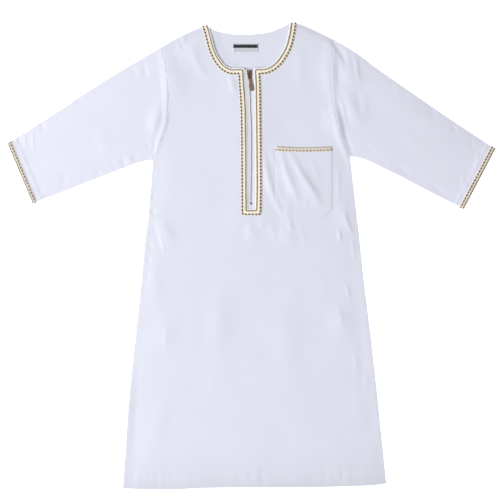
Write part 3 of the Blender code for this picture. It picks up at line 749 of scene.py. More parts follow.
neckTables = {
    "right": [(-82.9, 447.3), (-79.6, 436.8), (-77.6, 429.0), (-75.7, 421.2), (-73.7, 413.4),
              (-71.6, 405.6), (-68.3, 397.8), (-64.7, 390.0), (-59.7, 382.2), (-53.6, 374.5),
              (-45.8, 368.9), (-38.0, 366.2), (-30.2, 366.4), (-14.0, 366.4)],
    "left": [(74.9, 455.5), (72.5, 436.8), (70.8, 429.0), (69.1, 421.2), (66.9, 413.4),
             (64.0, 405.6), (59.7, 397.8), (55.0, 390.0), (49.3, 382.2), (40.0, 373.6),
             (32.2, 369.3), (24.4, 366.8), (12.7, 366.7), (3.8, 366.4)],
}
slotTable = [(366.4, -14.0, 3.8), (333.5, -12.2, 5.5), (312.0, -10.4, 5.9), (281.0, -8.8, 6.2),
             (226.0, -8.0, 6.8), (173.5, -7.6, 7.3), (128.7, -7.4, 7.4),
             (91.8, -7.2, 6.6)]   # height, right edge, left edge


backLook = {
    "cell": 6.0 * mm,
    "thickness": 0.7 * mm,
    "top": 0.85 * mm,
    "swell": 1.3 * mm,   # beside the neck's right edge, right of and above this corner
    "swellCorner": (-30 * mm, 350 * mm),
    "creases": [
        ([(-120, 250), (-60, 200), (10, 170)], 16, 20, 0.9),
        ([(110, 240), (60, 120), (40, 20)], 18, 22, 0.9),
        ([(-40, 120), (-20, 0), (-30, -120)], 22, 22, 0.8),
        ([(-150, 60), (-100, -20)], 14, 18, 0.9),
        ([(150, 70), (120, -10)], 14, 18, 0.9),
        ([(80, -120), (95, -300)], 24, 24, 0.8),
        ([(-120, -160), (-135, -330)], 24, 24, 0.8),
        ([(-130, 380), (-110, 300)], 14, 16, 0.8),
        ([(120, 390), (108, 300)], 14, 16, 0.8),
        ([(0, -200), (10, -380)], 24, 24, 0.7),
    ],
}


def makeBack():
    look = backLook
    sheet = flatSheet("back_panel", look["cell"])
    neck = route(neckTables["right"])
    inner, lower = look["swellCorner"]
    for vert in sheet.verts:
        vert.co.z = look["top"]
        if vert.co.x < inner and vert.co.y > lower:
            gap = nearOn(neck, flat(vert.co))[0]
            vert.co.z += look["swell"] * (1 - ease((gap - 3 * mm) / (13 * mm)))
    addCreases(sheet.verts, look["creases"])
    piece = sheetPiece("backPanel", sheet, look["thickness"], cottonBody)
    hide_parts("back_panel")
    return piece


backPanel = makeBack()
print("back panel made")


cuffHemLook = {
    "reach": 4, "band": 0.3 * mm, "bandFade": 0.25, "dip": 0.45 * mm, "dipWidth": 0.22,
    "ripples": [(1.0, 9 * mm, (5, 0))], "ridge": (0.6 * mm, 0.5 * mm, 1.32, 0.36),
    "puckers": 0.6 * mm, "puckerFade": 2.0,
}
sleeveSheet = {
    "cell": 4.5 * mm,
    "fine": [(-206 * mm, -150 * mm), (150 * mm, 214 * mm),
             (-458 * mm, -382 * mm), (384 * mm, 470 * mm)],
    "thickness": 0.7 * mm,
    "blur": 9.0 * mm,
    "cuffHem": 13.0 * mm,
}
sleeveLooks = {   # foldWays: along the upper and the lower folded edge, towards the body
    "right": {
        "material": litCottonSleeveRight,
        "cuff": [(-475.4, 219.2), (-427.0, 103.4)],
        "foldWays": [(78.6, 49.5), (41.9, 16.0)],
        "creases": [
            ([(-178.4, 274.9), (-184.3, 245.7), (-192.1, 220.3)], 5, 5, -0.2),
            ([(-183.3, 288.6), (-190.1, 261.3), (-196.9, 230.1)], 7, 7, 0.2),
            ([(-209.6, 222.3), (-195, 206.7)], 4, 4, -0.78),
            ([(-254.5, 195), (-245.7, 171.6)], 5, 5, -1.17),
            ([(-241.8, 196.9), (-235, 177.4)], 5, 5, 1.04),
            ([(-230.1, 198.9), (-225.2, 181.3)], 5, 5, -0.91),
            ([(-272, 185.2), (-268.1, 167.7)], 5, 5, -0.65),
            ([(-301.3, 171.6), (-297.4, 154)], 5, 5, -0.78),
            ([(-328.6, 159.9), (-324.7, 140.4)], 5, 5, -0.65),
            ([(-361.7, 167.7), (-369.5, 128.7)], 10, 10, -0.65),
            ([(-240.8, 366.6), (-221.3, 354.9)], 8, 6, -0.91),
            ([(-211.6, 378.3), (-203.8, 343.2)], 7, 7, -0.78),
            ([(-346.1, 312), (-326.6, 288.6)], 9, 9, -0.52),
            ([(-412.4, 265.2), (-402.7, 241.8)], 7, 7, -0.78),
            ([(-442.6, 239.8), (-440.7, 206.7)], 3.5, 4, 0.65),
            ([(-427.1, 247.7), (-425.1, 202.8)], 4, 4, 0.65),
            ([(-457.3, 232), (-449.5, 220.3)], 4, 4, -1.04),
            ([(-418.3, 123.8), (-400.7, 129.7)], 4, 4, -1.04),
            ([(-415.3, 116), (-400.7, 121.9)], 3.5, 3.5, 1.17),
            ([(-305.2, 245.7), (-275.9, 206.7)], 20, 20, 0.65),
        ],
    },
    "left": {
        "material": litCottonSleeveLeft,
        "cuff": [(475.0, 208.6), (414.0, 92.6)],
        "foldWays": [(-60.6, 39.8), (-54.2, 26.7)],
        "creases": [
            ([(192.1, 407.6), (202.8, 384.1), (206.9, 354.9), (215.5, 323.7)], 7, 6, 1.04),
            ([(217.4, 218.4), (242.8, 200.8)], 6, 5, -0.78),
            ([(283.7, 175.5), (311, 157.9)], 6, 6, -1.17),
            ([(348.1, 140.4), (379.3, 119)], 6, 6, -1.04),
            ([(266.2, 181.3), (274, 167.7)], 5, 5, 0.65),
            ([(279.8, 335.4), (291.5, 319.8)], 5, 5, 0.78),
            ([(299.3, 319.8), (305.2, 306.1)], 5, 5, -0.78),
            ([(344.2, 288.6), (359.8, 269.1)], 7, 7, -0.91),
            ([(387.1, 257.4), (402.7, 239.8)], 7, 7, -0.78),
            ([(426.1, 230.1), (433.9, 206.7)], 6, 6, -0.65),
            ([(418.3, 163.8), (408.5, 136.5)], 5, 5, 0.78),
            ([(402.7, 122.8), (408.5, 111.1)], 4, 4, 1.04),
            ([(443.6, 206.7), (435.8, 181.3)], 4, 4, 0.65),
            ([(215.5, 323.7), (223.3, 265.2)], 12, 10, 0.78),
            ([(289.6, 245.7), (338.3, 206.7)], 20, 20, 0.65),
        ],
    },
}


def foldWaysOf(side):
    return [Vector((*way, 0)).normalized() for way in sleeveLooks[side]["foldWays"]]


def cuffSides(side):   # the cuff's corners, and the way out of the sleeve
    top, under = placesOf(sleeveLooks[side]["cuff"])
    out = Vector(((top - under).y, -(top - under).x, 0)).normalized()
    return top, under, (-out if side == "right" else out)


def cuffLine(side, distance):   # the ends of a line across the sleeve, this far from its edge
    top, under, out = cuffSides(side)
    return [corner + way * distance / abs(way.dot(out))
            for corner, way in zip((top, under), foldWaysOf(side))]


def across(ends, inset, count):   # even places between two ends, a little inside them
    a, b = ends
    along = (b - a).normalized()
    return [(a + along * inset).lerp(b - along * inset, k / count) for k in range(count + 1)]


def makeSleeve(side):
    look = sleeveLooks[side]
    sheet = shapedSheet("sleeve_" + side, dict(sleeveSheet, creases=look["creases"]),
                        seamCreases[side])
    top, under, out = cuffSides(side)
    raiseHem(sheet, cuffHemLook, sleeveSheet["cuffHem"],
             lambda place: (abs((top - place).dot(out)),
                            (place - under).dot((top - under).normalized())))
    surface = BVHTree.FromBMesh(sheet)

    def atCuff(vert):
        return abs((vert.co - top).dot(out)) < 1.2 * mm

    def atBody(vert):
        return onArmhole(vert, 1.6 * mm)

    def floorAt(root):   # the lower layer, which the cuff's braid lifts at the end
        lifted = 1 - ease(abs((root - top).dot(out)) / (30 * mm))
        return heightOn(survey, root, fromBelow=True) * (1 - lifted) + (0.1 + 1.9 * lifted) * mm

    survey = surveyOf("sleeve_" + side)
    seams = [e for e in borderOf(sheet) if not all(map(atCuff, e.verts))
             and not all(map(atBody, e.verts))]
    if side == "left":   # its seam's allowance and painted shade show along the upper edge, the side away from the lamp
        lean = sum(foldWaysOf(side), Vector((0, 0, 0)))
        upper = [e for e in seams if (e.verts[0].co - (top + under) / 2).dot(
            Vector((lean.y, -lean.x, 0))) > 0]
        markAllowanceShade(sheet, upper, [(0, 0.02), (3, 0.14), (6, 0.1), (10, 0.03), (15, 0)])

    lower = bmesh.ops.duplicate(sheet, geom=sheet.verts[:] + sheet.edges[:] + sheet.faces[:])
    lower = lower["geom"]
    bmesh.ops.reverse_faces(sheet, faces=[g for g in lower if isinstance(g, bmesh.types.BMFace)])
    turnDown(sheet, seams, [
        (0.45 * mm, lambda root: root.z * 0.95 + floorAt(root) * 0.05),
        (0.65 * mm, lambda root: root.z * 0.7 + floorAt(root) * 0.3),
        (0.45 * mm, lambda root: root.z * 0.15 + floorAt(root) * 0.85),
        (0.0, floorAt),
    ])
    lowerVerts = {g for g in lower if isinstance(g, bmesh.types.BMVert)}
    for vert in lowerVerts:
        vert.co.z = floorAt(vert.co)
    lips = [e for e in borderOf(sheet) if lowerVerts.isdisjoint(e.verts)
            and all(map(atBody, e.verts)) and min(v.co.z for v in e.verts) > 1.5 * mm]
    turnDown(sheet, lips, seamLip)
    bmesh.ops.remove_doubles(sheet, verts=sheet.verts, dist=weld)
    piece = sheetPiece("sleeve" + side.capitalize(), sheet, sleeveSheet["thickness"],
                       look["material"])
    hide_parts("sleeve_" + side)
    return piece, surface


sleeves, sleeveSurfaces = {}, {}
for side in ("right", "left"):
    sleeves[side], sleeveSurfaces[side] = makeSleeve(side)
print("sleeves made")


# Lines that the trims follow

def slotAt(y):   # the slot's two edges at a height, in metres
    for (y0, r0, l0), (y1, r1, l1) in zip(slotTable, slotTable[1:]):
        if y >= y1 * mm or y1 == slotTable[-1][0]:
            t = min(1.0, max(0.0, (y0 * mm - y) / ((y0 - y1) * mm)))
            return (r0 + (r1 - r0) * t) * mm, (l0 + (l1 - l0) * t) * mm


def straight(points, step=2.0):   # as route(), but straight between the points
    places = placesOf(points)
    line = [places[0]]
    for a, b in zip(places, places[1:]):
        pieces = max(1, round((b - a).length / (step * mm)))
        line += [a.lerp(b, k / pieces) for k in range(1, pieces + 1)]
    return line


def neckLegs():   # down the neck, round the zip's slot and up the neck again
    bottom, footRight, footLeft = slotTable[-1]
    return [route(neckTables["right"]), straight([(r, y) for y, r, _ in slotTable]),
            straight([(footRight, bottom), (footLeft, bottom)]),
            straight([(l, y) for y, _, l in slotTable])[::-1], route(neckTables["left"])[::-1]]


def crossing(a, b, c, d):   # shares of the way along a-b and c-d where they cross
    first, second = b - a, d - c
    turn = first.x * second.y - first.y * second.x
    if abs(turn) < 1e-14:
        return None
    gap = c - a
    return ((gap.x * second.y - gap.y * second.x) / turn,
            (gap.x * first.y - gap.y * first.x) / turn)


def joinLegs(first, second):   # cuts two legs where they cross, or carries them on to meet
    for i in range(len(first) - 2, -1, -1):
        for j in range(len(second) - 1):
            found = crossing(first[i], first[i + 1], second[j], second[j + 1])
            if found and 0 <= found[0] <= 1 and 0 <= found[1] <= 1:
                corner = first[i].lerp(first[i + 1], found[0])
                return first[:i + 1] + [corner], [corner] + second[j + 1:]
    found = crossing(first[-2], first[-1], second[0], second[1])
    corner = first[-2].lerp(first[-1], found[0])
    return first + [corner], [corner] + second


def movedLegs(legs, distance, counts):   # one line beside all the legs, the same count on each
    moved = [movedOut(leg, distance) for leg in legs]
    first = moved[0]   # the braid is cut along the shoulder, which leans across its end
    first.insert(0, first[0] + (first[0] - first[1]).normalized() * 4.0 * mm
                 * min(1.0, (distance + 0.1 * mm) / (2.6 * mm)))
    for k in range(len(moved) - 1):
        moved[k], moved[k + 1] = joinLegs(moved[k], moved[k + 1])
    line = []
    for leg, count in zip(moved, counts):
        line += [p for p, _ in evenly(leg, sum(stepsOf(leg)) / count)][(1 if line else 0):]
    return line


# Threads, knots and stitches

def threadsAlong(name, lines, radius, closed=False):   # round threads as one mesh
    curve = bpy.data.curves.new(name, "CURVE")
    curve.dimensions = "3D"
    curve.bevel_depth = radius
    curve.bevel_resolution = 1
    curve.use_fill_caps = True
    for line in lines:
        spline = curve.splines.new("POLY")
        spline.points.add(len(line) - 1)
        for spot, place in zip(spline.points, line):
            spot.co = (*place, 1.0)
        spline.use_cyclic_u = closed
    holder = bpy.data.objects.new(name, curve)
    bpy.context.scene.collection.objects.link(holder)
    made = bmesh.new()
    seen = holder.evaluated_get(bpy.context.evaluated_depsgraph_get())
    made.from_mesh(bpy.data.meshes.new_from_object(seen))
    bpy.data.objects.remove(holder)
    return made


def addGrain(shape, place, along, lift, size):   # one stitch or knot: (across, along, up)
    side = along.cross(lift).normalized()
    turn = Matrix((side, along, side.cross(along).normalized())).transposed().to_4x4()
    bmesh.ops.create_uvsphere(shape, u_segments=9, v_segments=6, radius=1.0,
                              matrix=Matrix.Translation(place) @ turn
                              @ Matrix.Diagonal((*size, 1.0)))


def twistedPair(line, liftOf, radius, pitch, closed=False):   # two strands, pressed flat
    strands, stepsPerTurn = [[], []], 8
    for n, (place, along) in enumerate(evenly(line, pitch / stepsPerTurn, closed)):
        lift = liftOf(place)
        side = along.cross(lift).normalized()
        for k, strand in enumerate(strands):
            angle = 2 * math.pi * n / stepsPerTurn + math.pi * k
            strand.append(place + (side * math.cos(angle) + lift * 0.5 * math.sin(angle)) * radius)
    return strands


creamLook = {"colour": (0.97, 0.92, 0.80), "shade": (0.87, 0.78, 0.62), "roughness": 0.55,
             "sheen": 0.1, "threads": 1300.0, "threadDepth": 0.09 * mm, "cloudScale": 60.0}
braidCream = wovenCloth("braidCream", creamLook, "UV")
braidTan = wovenCloth("braidTan", dict(creamLook, colour=(0.82, 0.77, 0.67),
                                       shade=(0.68, 0.62, 0.51)), "UV")


threads = rubbedSet([
    ("cordGold", (0.47, 0.36, 0.18), (0.20, 0.145, 0.065), 0.45, 0.2, 1500.0, 0.06),
    ("linkGold", (0.62, 0.51, 0.33), (0.38, 0.29, 0.16), 0.5, 0.1, 1500.0, 0.04),
    ("cordPale", (0.626, 0.574, 0.487), (0.47, 0.418, 0.339), 0.5, 0.0, 1500.0, 0.04),
    ("knotPale", (0.50, 0.42, 0.31), (0.34, 0.27, 0.19), 0.5, 0.0, 1300.0, 0.05),
    ("knotBrown", (0.23, 0.155, 0.08), (0.10, 0.064, 0.034), 0.5, 0.15, 1300.0, 0.06),
    ("knotGrey", (0.40, 0.34, 0.27), (0.24, 0.19, 0.14), 0.5, 0.0, 1300.0, 0.05),
    ("fanThread", (0.97, 0.92, 0.79), (0.86, 0.77, 0.60), 0.55, 0.0, 1500.0, 0.05),
    ("sewingThread", (0.80, 0.81, 0.88), (0.66, 0.67, 0.75), 0.6, 0.0, 1800.0, 0.03),
], 0.15, 0.08)
richThreads = {"ribbon": braidCream, "cord": threads["cordGold"],
               "links": threads["linkGold"], "knot": threads["knotBrown"]}
paleThreads = {"ribbon": braidTan, "cord": threads["cordPale"],
               "links": threads["cordPale"], "knot": threads["knotPale"]}
cuffThreads = {"right": dict(paleThreads, knot=threads["knotGrey"]),
               "left": dict(richThreads, cord=threads["knotGrey"])}

braidLook = {
    "shares": (0.0, 0.12, 0.3, 0.5, 0.7, 0.88, 1.0),   # places across the ribbon
    "bulge": 0.4 * mm, "thickness": 0.5 * mm,
    "cordStrand": 0.58 * mm, "cordTwist": 3.6 * mm,
    "linkStrand": 0.45 * mm, "linkTwist": 2.52 * mm,
    "pitch": 6.68 * mm, "knotSize": (2.0 * mm, 2.05 * mm, 0.8 * mm),
    "fanSize": (1.0 * mm, 1.7 * mm, 0.6 * mm),
}


def makeBraid(name, lineAt, layout, kinds, liftOf=upwards, closed=False):
    # lineAt(distance from the inner edge, height) gives one long line of the braid
    look = braidLook
    offsets = [layout["inset"] + layout["width"] * f for f in look["shares"]]
    lines = [lineAt(offset, layout["rise"] + look["bulge"] * math.sin(math.pi * f))
             for offset, f in zip(offsets, look["shares"])]
    ribbon = stripPiece(name + "Ribbon", lines, offsets, kinds["ribbon"], look["thickness"],
                        closed, liftOf)

    def twisted(part, line, strand, pitch, radius):
        strands = twistedPair(line, liftOf, strand, pitch, closed)
        return meshPiece(name + part.capitalize(), threadsAlong(name, strands, radius, closed),
                         kinds[part])

    strand = layout.get("strand", look["cordStrand"])
    cord = twisted("cord", lineAt(layout["cordAt"], layout["cordRise"]), strand,
                   look["cordTwist"], strand * 1.08)
    knotLine = lineAt(layout["knotAt"], layout["knotRise"])
    links = twisted("links", knotLine, look["linkStrand"], look["linkTwist"],
                    look["linkStrand"])
    knots = bmesh.new()
    for place, along in evenly(knotLine, look["pitch"], closed):
        addGrain(knots, place, along, liftOf(place), look["knotSize"])
    knots = meshPiece(name + "Knots", knots, kinds["knot"])

    fans = bmesh.new()   # pale tufts, between the knots
    for at in (layout["outerAt"], layout["innerAt"]):
        places = evenly(lineAt(at, layout["fanRise"]), look["pitch"] / 2, closed)
        for place, along in places[1::2]:
            addGrain(fans, place, along, liftOf(place), look["fanSize"])
    fans = meshPiece(name + "Fans", fans, threads["fanThread"])
    return ribbon, [cord, links, knots, fans]


# Neck and placket braid

neckEdge = neckLegs()
neckLayout = {"inset": 2.6 * mm, "width": 9.4 * mm, "rise": 0.55 * mm, "cordAt": 3.7 * mm,
              "cordRise": 0.95 * mm, "knotAt": 10.6 * mm, "knotRise": 0.95 * mm,
              "outerAt": 12.4 * mm, "innerAt": 8.7 * mm, "fanRise": 0.8 * mm}


def neckLineAt(distance, height):
    line = movedLegs(neckEdge, distance, (75, 120, 9, 120, 72))   # places on each leg
    return laidOn(frontSurface, relaxed(line, 1), height)


def makeNeckRoll():   # the cloth's turned edge, which stands up inside the braid
    offsets = [d * mm for d in (0.1, 0.25, 0.5, 1.1, 1.8, 2.4, 2.8)]
    heights = [h * mm for h in (-0.3, 0.5, 1.0, 1.25, 1.2, 0.7, 0.0)]
    lines = []
    for offset, height in zip(offsets, heights):   # it is lower along the slot
        lines.append([p + up * height * (1 - 0.55 * ease((374 * mm - p.y) / (12 * mm)))
                      for p in neckLineAt(offset, 0.0)])
    piece = stripPiece("neckRoll", lines, offsets, facingClothHighlight, 0.3 * mm)
    return piece


neckRoll = makeNeckRoll()
neckRibbon, neckTrims = makeBraid("neckBraid", neckLineAt, neckLayout, richThreads)
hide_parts("neck_placket_braid")
print("neck and placket braid made")


# Chest pocket

pocketLook = {
    "cell": 3.2 * mm,
    "thickness": 0.3 * mm,
    "lift": 0.6 * mm,
    "pressedTo": 7 * mm, "stitchedAt": 2.2 * mm, "stitchWidth": 1.6 * mm, "dip": 0.08 * mm,
    "right": 46.5, "left": 158.5, "top": 213.9, "bottom": 73.2, "chamfer": 17.0, "bow": 2.2,
}


def pocketRimLine():   # down the pocket's left edge, round and up its right one
    right, left, top, bottom, chamfer = (
        pocketLook[key] for key in ("right", "left", "top", "bottom", "chamfer"))
    return straight([(left, top), (left, bottom + chamfer), (left - chamfer, bottom),
                     (right + chamfer, bottom), (right, bottom + chamfer), (right, top)], 4.0)


def makePocket():
    look = pocketLook
    sheet = flatSheet("chest_pocket", look["cell"])
    rimLine = pocketRimLine()
    for vert in sheet.verts:   # the pressed edge lies thin on the front, with a stitched dip
        vert.co.z = heightOn(frontSurface, vert.co) + look["lift"]
        distance = nearOn(rimLine, flat(vert.co))[0]
        if distance < look["pressedTo"]:
            drop = (0.6 - 0.14 * ease((vert.co.x - 110 * mm) / (30 * mm))) * mm
            vert.co.z -= drop * (1 - ease(distance / look["pressedTo"]))
            off = abs(distance - look["stitchedAt"])
            vert.co.z -= look["dip"] * (1 - min(1.0, off / look["stitchWidth"]))
    surface = BVHTree.FromBMesh(sheet)
    turnDown(sheet, borderOf(sheet), [(0.2 * mm, lambda root: root.z - 0.1 * mm),
                                      (0.3 * mm, lambda root: root.z - 0.6 * mm)])
    piece = sheetPiece("chestPocket", sheet, look["thickness"], cottonBody)
    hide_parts("chest_pocket")
    return piece, surface, rimLine


pocket, pocketSurface, pocketRim = makePocket()
pocketLayout = {"inset": 0.0, "width": 8.4 * mm, "rise": 0.45 * mm, "cordAt": 1.2 * mm,
                "cordRise": 0.95 * mm, "knotAt": 6.6 * mm, "knotRise": 0.95 * mm,
                "outerAt": 8.3 * mm, "innerAt": 4.8 * mm, "fanRise": 0.8 * mm}


def takenIn(line, first, last):   # the line with its ends taken in, as many places on it
    gone = [0.0]
    for step in stepsOf(line):
        gone.append(gone[-1] + step)
    fresh, n = [], 1
    for k in range(len(line)):
        wanted = first + (gone[-1] - first - last) * k / (len(line) - 1)
        while gone[n] < wanted and n < len(line) - 1:
            n += 1
        fresh.append(line[n - 1].lerp(line[n], (wanted - gone[n - 1]) / (gone[n] - gone[n - 1])))
    return fresh


def pocketLineAt(distance, height):
    look, count = pocketLook, 56
    shares = [k / count for k in range(count + 1)]
    line = placesOf([(look["right"] + (look["left"] - look["right"]) * f,
                      look["top"] - look["bow"] * 4 * f * (1 - f)) for f in shares])
    return takenIn(laidOn(pocketSurface, movedOut(line, distance), height), 2.6 * mm, 3.6 * mm)


pocketRibbon, pocketTrims = makeBraid("pocketBraid", pocketLineAt, pocketLayout, paleThreads)
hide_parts("pocket_braid")
print("pocket made")


# Cuff braids

cuffLayout = {"inset": 0.0, "width": 8.4 * mm, "rise": 0.35 * mm, "cordAt": 0.8 * mm,
              "cordRise": 0.75 * mm, "knotAt": 6.6 * mm, "knotRise": 0.8 * mm,
              "outerAt": 8.3 * mm, "innerAt": 4.5 * mm, "fanRise": 0.65 * mm}


def cuffRing(side, distance, height):   # round the end of a sleeve, over and under
    a, b = cuffLine(side, distance)
    along = (b - a).normalized()
    over = laidOn(sleeveSurfaces[side], across((a, b), 0.8 * mm, 48), height)
    below = [Vector((p.x, p.y, 1.9 * mm - height)) for p in reversed(over)]
    ends = []
    for corner, way, near in ((b, along, over[-1]), (a, -along, over[0])):
        middle = (near.z + 1.9 * mm - height) / 2
        ends.append([corner + way * (height + 0.1 * mm) + up * z
                     for z in (middle + 0.5 * mm, middle - 0.5 * mm)])
    return over + ends[0] + below + ends[1][::-1]


def cuffLift(side):
    top, under, out = cuffSides(side)
    level = 2.9 * mm

    def lift(place):
        inward = (place - top).dot(out)
        a, b = top + out * inward + up * level, under + out * inward + up * level
        along = (b - a).normalized()
        reach = min((b - a).length - 1.5 * mm, max(1.5 * mm, (place - a).dot(along)))
        return (place - a - along * reach).normalized()

    return lift


cuffLayouts = {
    "right": dict(cuffLayout, width=7.4 * mm, strand=0.7 * mm, knotAt=5.5 * mm,
                  outerAt=7.2 * mm, innerAt=3.6 * mm),
    "left": dict(cuffLayout, strand=0.9 * mm, cordAt=1.4 * mm, cordRise=0.45 * mm),
}
cuffBraids = {}
for side, layout in cuffLayouts.items():
    cuffBraids[side] = makeBraid(
        "cuffBraid" + side.capitalize(), lambda d, h, side=side: cuffRing(side, d, h),
        layout, cuffThreads[side], cuffLift(side), closed=True)
    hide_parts("cuff_braid_" + side)
print("cuff braids made")


# Zip

tapeLook = {"colour": (0.80, 0.80, 0.85), "shade": (0.66, 0.66, 0.72), "roughness": 0.75,
            "sheen": 0.05, "threads": 1500.0, "threadDepth": 0.05 * mm}
tapeCloth = wovenCloth("zipTapeWeave", tapeLook, "UV")


metals = rubbedSet([   # the pull is paler than the slider
    ("toothMetal", (0.68, 0.68, 0.70), (0.42, 0.42, 0.44), 0.38, 0.7, 900.0, 0.01),
    ("sliderMetal", (0.33, 0.205, 0.13), (0.13, 0.078, 0.05), 0.32, 0.85, 450.0, 0.01),
    ("pullMetal", (0.48, 0.365, 0.26), (0.22, 0.16, 0.115), 0.36, 0.8, 450.0, 0.01),
    ("stopMetal", (0.24, 0.24, 0.28), (0.12, 0.12, 0.14), 0.4, 0.6, 700.0, 0.01),
], 0.2, 0.1)

zipLook = {
    "line": [(-3.9, 356.0), (-3.5, 349.0), (-3.2, 342.0), (-2.5, 315.0), (-1.4, 285.0),
             (0.1, 250.0), (0.0, 195.0), (-0.5, 140.0), (-1.0, 104.5)],
    "level": 3.4 * mm,
    "toothPitch": 2.1 * mm,
    "tooth": (2.3 * mm, 1.15 * mm, 1.6 * mm),
    "tapeEnds": [(-3.9, 364.6), (-1.0, 79.8)],
    "tapeLevel": 3.6,
    "tapeWidth": 12.4,
    "tapePastSlot": 5.4,   # how far the tape reaches under the cloth at the slot
    "tapesMeet": 101 * mm,   # below the stop
    # a tape's courses: mm from the chain's middle, the rib's height, and mm past the slot's
    # edge where the course follows that edge instead
    "courses": [
        (0.7, 0.15, None), (1.0, 0.5, None), (1.35, 0.6, None), (1.7, 0.45, None),
        (2.2, 0.05, None), (3.2, 0.2, None), (3.6, 0.5, None), (4.0, 0.4, None),
        (5.2, 0.8, -1.5), (6.6, 1.1, -0.2), (7.2, 0.3, 0.6), (8.6, 0.0, 2.0),
        (12.4, 0.0, None),
    ],
}


def makeTeeth():
    look = zipLook
    teeth = bmesh.new()
    line = [p + up * look["level"] for p in route(look["line"][1:])]
    for n, (place, along) in enumerate(evenly(line, look["toothPitch"] / 2)):
        side = along.cross(up).normalized() * (1 if n % 2 else -1)
        turn = Matrix((side, along, side.cross(along))).transposed().to_4x4()
        spot = Matrix.Translation(place + side * 0.45 * mm) @ turn
        verts = bmesh.ops.create_cube(
            teeth, size=1.0, matrix=spot @ Matrix.Diagonal((*look["tooth"], 1.0)))["verts"]
        for vert in verts:   # the tooth's head is narrower than its foot
            if (vert.co - place).dot(side) < 0:
                vert.co -= along * (vert.co - place).dot(along) * 0.35
        edges = {e for v in verts for e in v.link_edges}
        bmesh.ops.bevel(teeth, geom=list(edges), offset=0.22 * mm, offset_type="OFFSET",
                        segments=1, profile=0.5, material=-1, affect="EDGES")
    bmesh.ops.recalc_face_normals(teeth, faces=teeth.faces)
    piece = meshPiece("zipTeeth", teeth, metals["toothMetal"], smooth=False)
    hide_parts("zip_chain")


def makeTape(side, sign):
    look = zipLook
    first, last = look["tapeEnds"]
    line = [p for p, _ in evenly(route([first] + look["line"] + [last]), 2.5 * mm)]
    lines = []
    for offset, rib, pastEdge in look["courses"]:
        run = []
        for place in line:
            edge = slotAt(place.y)[0 if sign < 0 else 1]
            reach = abs(edge + sign * look["tapePastSlot"] * mm - place.x) / mm
            out = offset / look["tapeWidth"] * reach
            if pastEdge is not None:
                out = reach - look["tapePastSlot"] + pastEdge
            if offset < 1.5 and place.y < look["tapesMeet"]:
                out *= 0.12
            run.append(Vector((place.x + sign * out * mm, place.y,
                               (look["tapeLevel"] + rib) * mm)))
        lines.append(run)
    piece = stripPiece("zipTape" + side.capitalize(), lines,
                       [course[0] * mm for course in look["courses"]], tapeCloth, 0.4 * mm)
    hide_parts("zip_tape_" + side)
    return piece


copyLook = {"weld": 0.005 * mm, "flat": math.radians(1.5), "sharp": math.radians(28)}


def easedCopy(name, nodeName, radius, material, body="garment"):   # the solid with worn edges
    part = bmesh.new()
    part.from_mesh(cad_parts[nodeName].data)
    bmesh.ops.remove_doubles(part, verts=part.verts, dist=copyLook["weld"])
    bmesh.ops.dissolve_limit(part, angle_limit=copyLook["flat"], verts=part.verts,
                             edges=part.edges)
    part.normal_update()
    sharp = [e for e in part.edges if len(e.link_faces) == 2
             and e.calc_face_angle() > copyLook["sharp"]]
    bmesh.ops.bevel(part, geom=sharp, offset=radius, offset_type="OFFSET", segments=2,
                    profile=0.5, material=-1, affect="EDGES", clamp_overlap=True)
    piece = meshPiece(name, part, material, body, smooth=False)
    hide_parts(nodeName)
    return piece


makeTeeth()
zipTapes = [makeTape(side, sign) for side, sign in (("right", -1), ("left", 1))]
for name, nodeName, radius, metal, body, slot in (
        ("zipSlider", "zip_slider", 0.22, "sliderMetal", "garment", "zip_metal"),
        ("zipPull", "zip_pull", 0.25, "pullMetal", "pull_tab", "zip_metal"),
        ("zipStopTopRight", "zip_stop_top_right", 0.3, "sliderMetal", "garment", "zip_metal"),
        ("zipStopTopLeft", "zip_stop_top_left", 0.3, "sliderMetal", "garment", "zip_metal"),
        ("zipStopBottom", "zip_stop_bottom", 0.5, "stopMetal", "garment", "zip_teeth")):
    easedCopy(name, nodeName, radius * mm, metals[metal], body)
print("zip made")


# Neck label, with plain woven bands

def labelWeave(name, look):   # satin, with a band of lozenges and a band of dashes
    made, tree, sockets = newMaterial(name, look)
    place = placeOf(tree, "UV")
    parts = addNode(tree, "SeparateXYZ", {0: place})
    mixed = look["colour"]

    def offFrom(value, middle):
        return joinMath(tree, "ABSOLUTE", joinMath(tree, "SUBTRACT", value, middle))

    for band in look["bands"]:
        repeat = joinMath(tree, "FRACT", joinMath(tree, "DIVIDE", parts["X"], band["pitch"]))
        along = joinMath(tree, "MULTIPLY", offFrom(repeat, 0.5), band["narrow"])
        over = joinMath(tree, "DIVIDE", offFrom(parts["Y"], band["middle"]), band["half"])
        spread = joinMath(tree, "MULTIPLY_ADD", over, band["slope"], along)
        mask = joinMath(tree, "LESS_THAN", spread, 1.0)
        for value, limit in ((over, 1.0), (offFrom(parts["X"], look["middle"]), band["reach"])):
            mask = joinMath(tree, "MULTIPLY", mask, joinMath(tree, "LESS_THAN", value, limit))
        mixed = mixColours(tree, mask, mixed, band["ink"])
    tree.links.new(mixed, sockets["Base Color"])
    weave = addNode(tree, "Group", {"Threads": 3000.0, "Vector": place}, node_tree=weaveGroup)
    bumpFrom(tree, sockets, weave["Height"], 0.03 * mm)
    return made


labelLook = {
    "colour": (0.76, 0.76, 0.82), "roughness": 0.5, "middle": 24.5 * mm,
    "bands": [
        {"pitch": 3.3 * mm, "middle": 12.4 * mm, "half": 3.9 * mm, "narrow": 1.6, "slope": 0.45,
         "reach": 24.2 * mm, "ink": (0.02, 0.02, 0.026)},
        {"pitch": 1.9 * mm, "middle": 4.4 * mm, "half": 3.4 * mm, "narrow": 1.5, "slope": 0.35,
         "reach": 22.5 * mm, "ink": (0.58, 0.58, 0.64)},
    ],
}
labelSatin = labelWeave("labelSatin", labelLook)


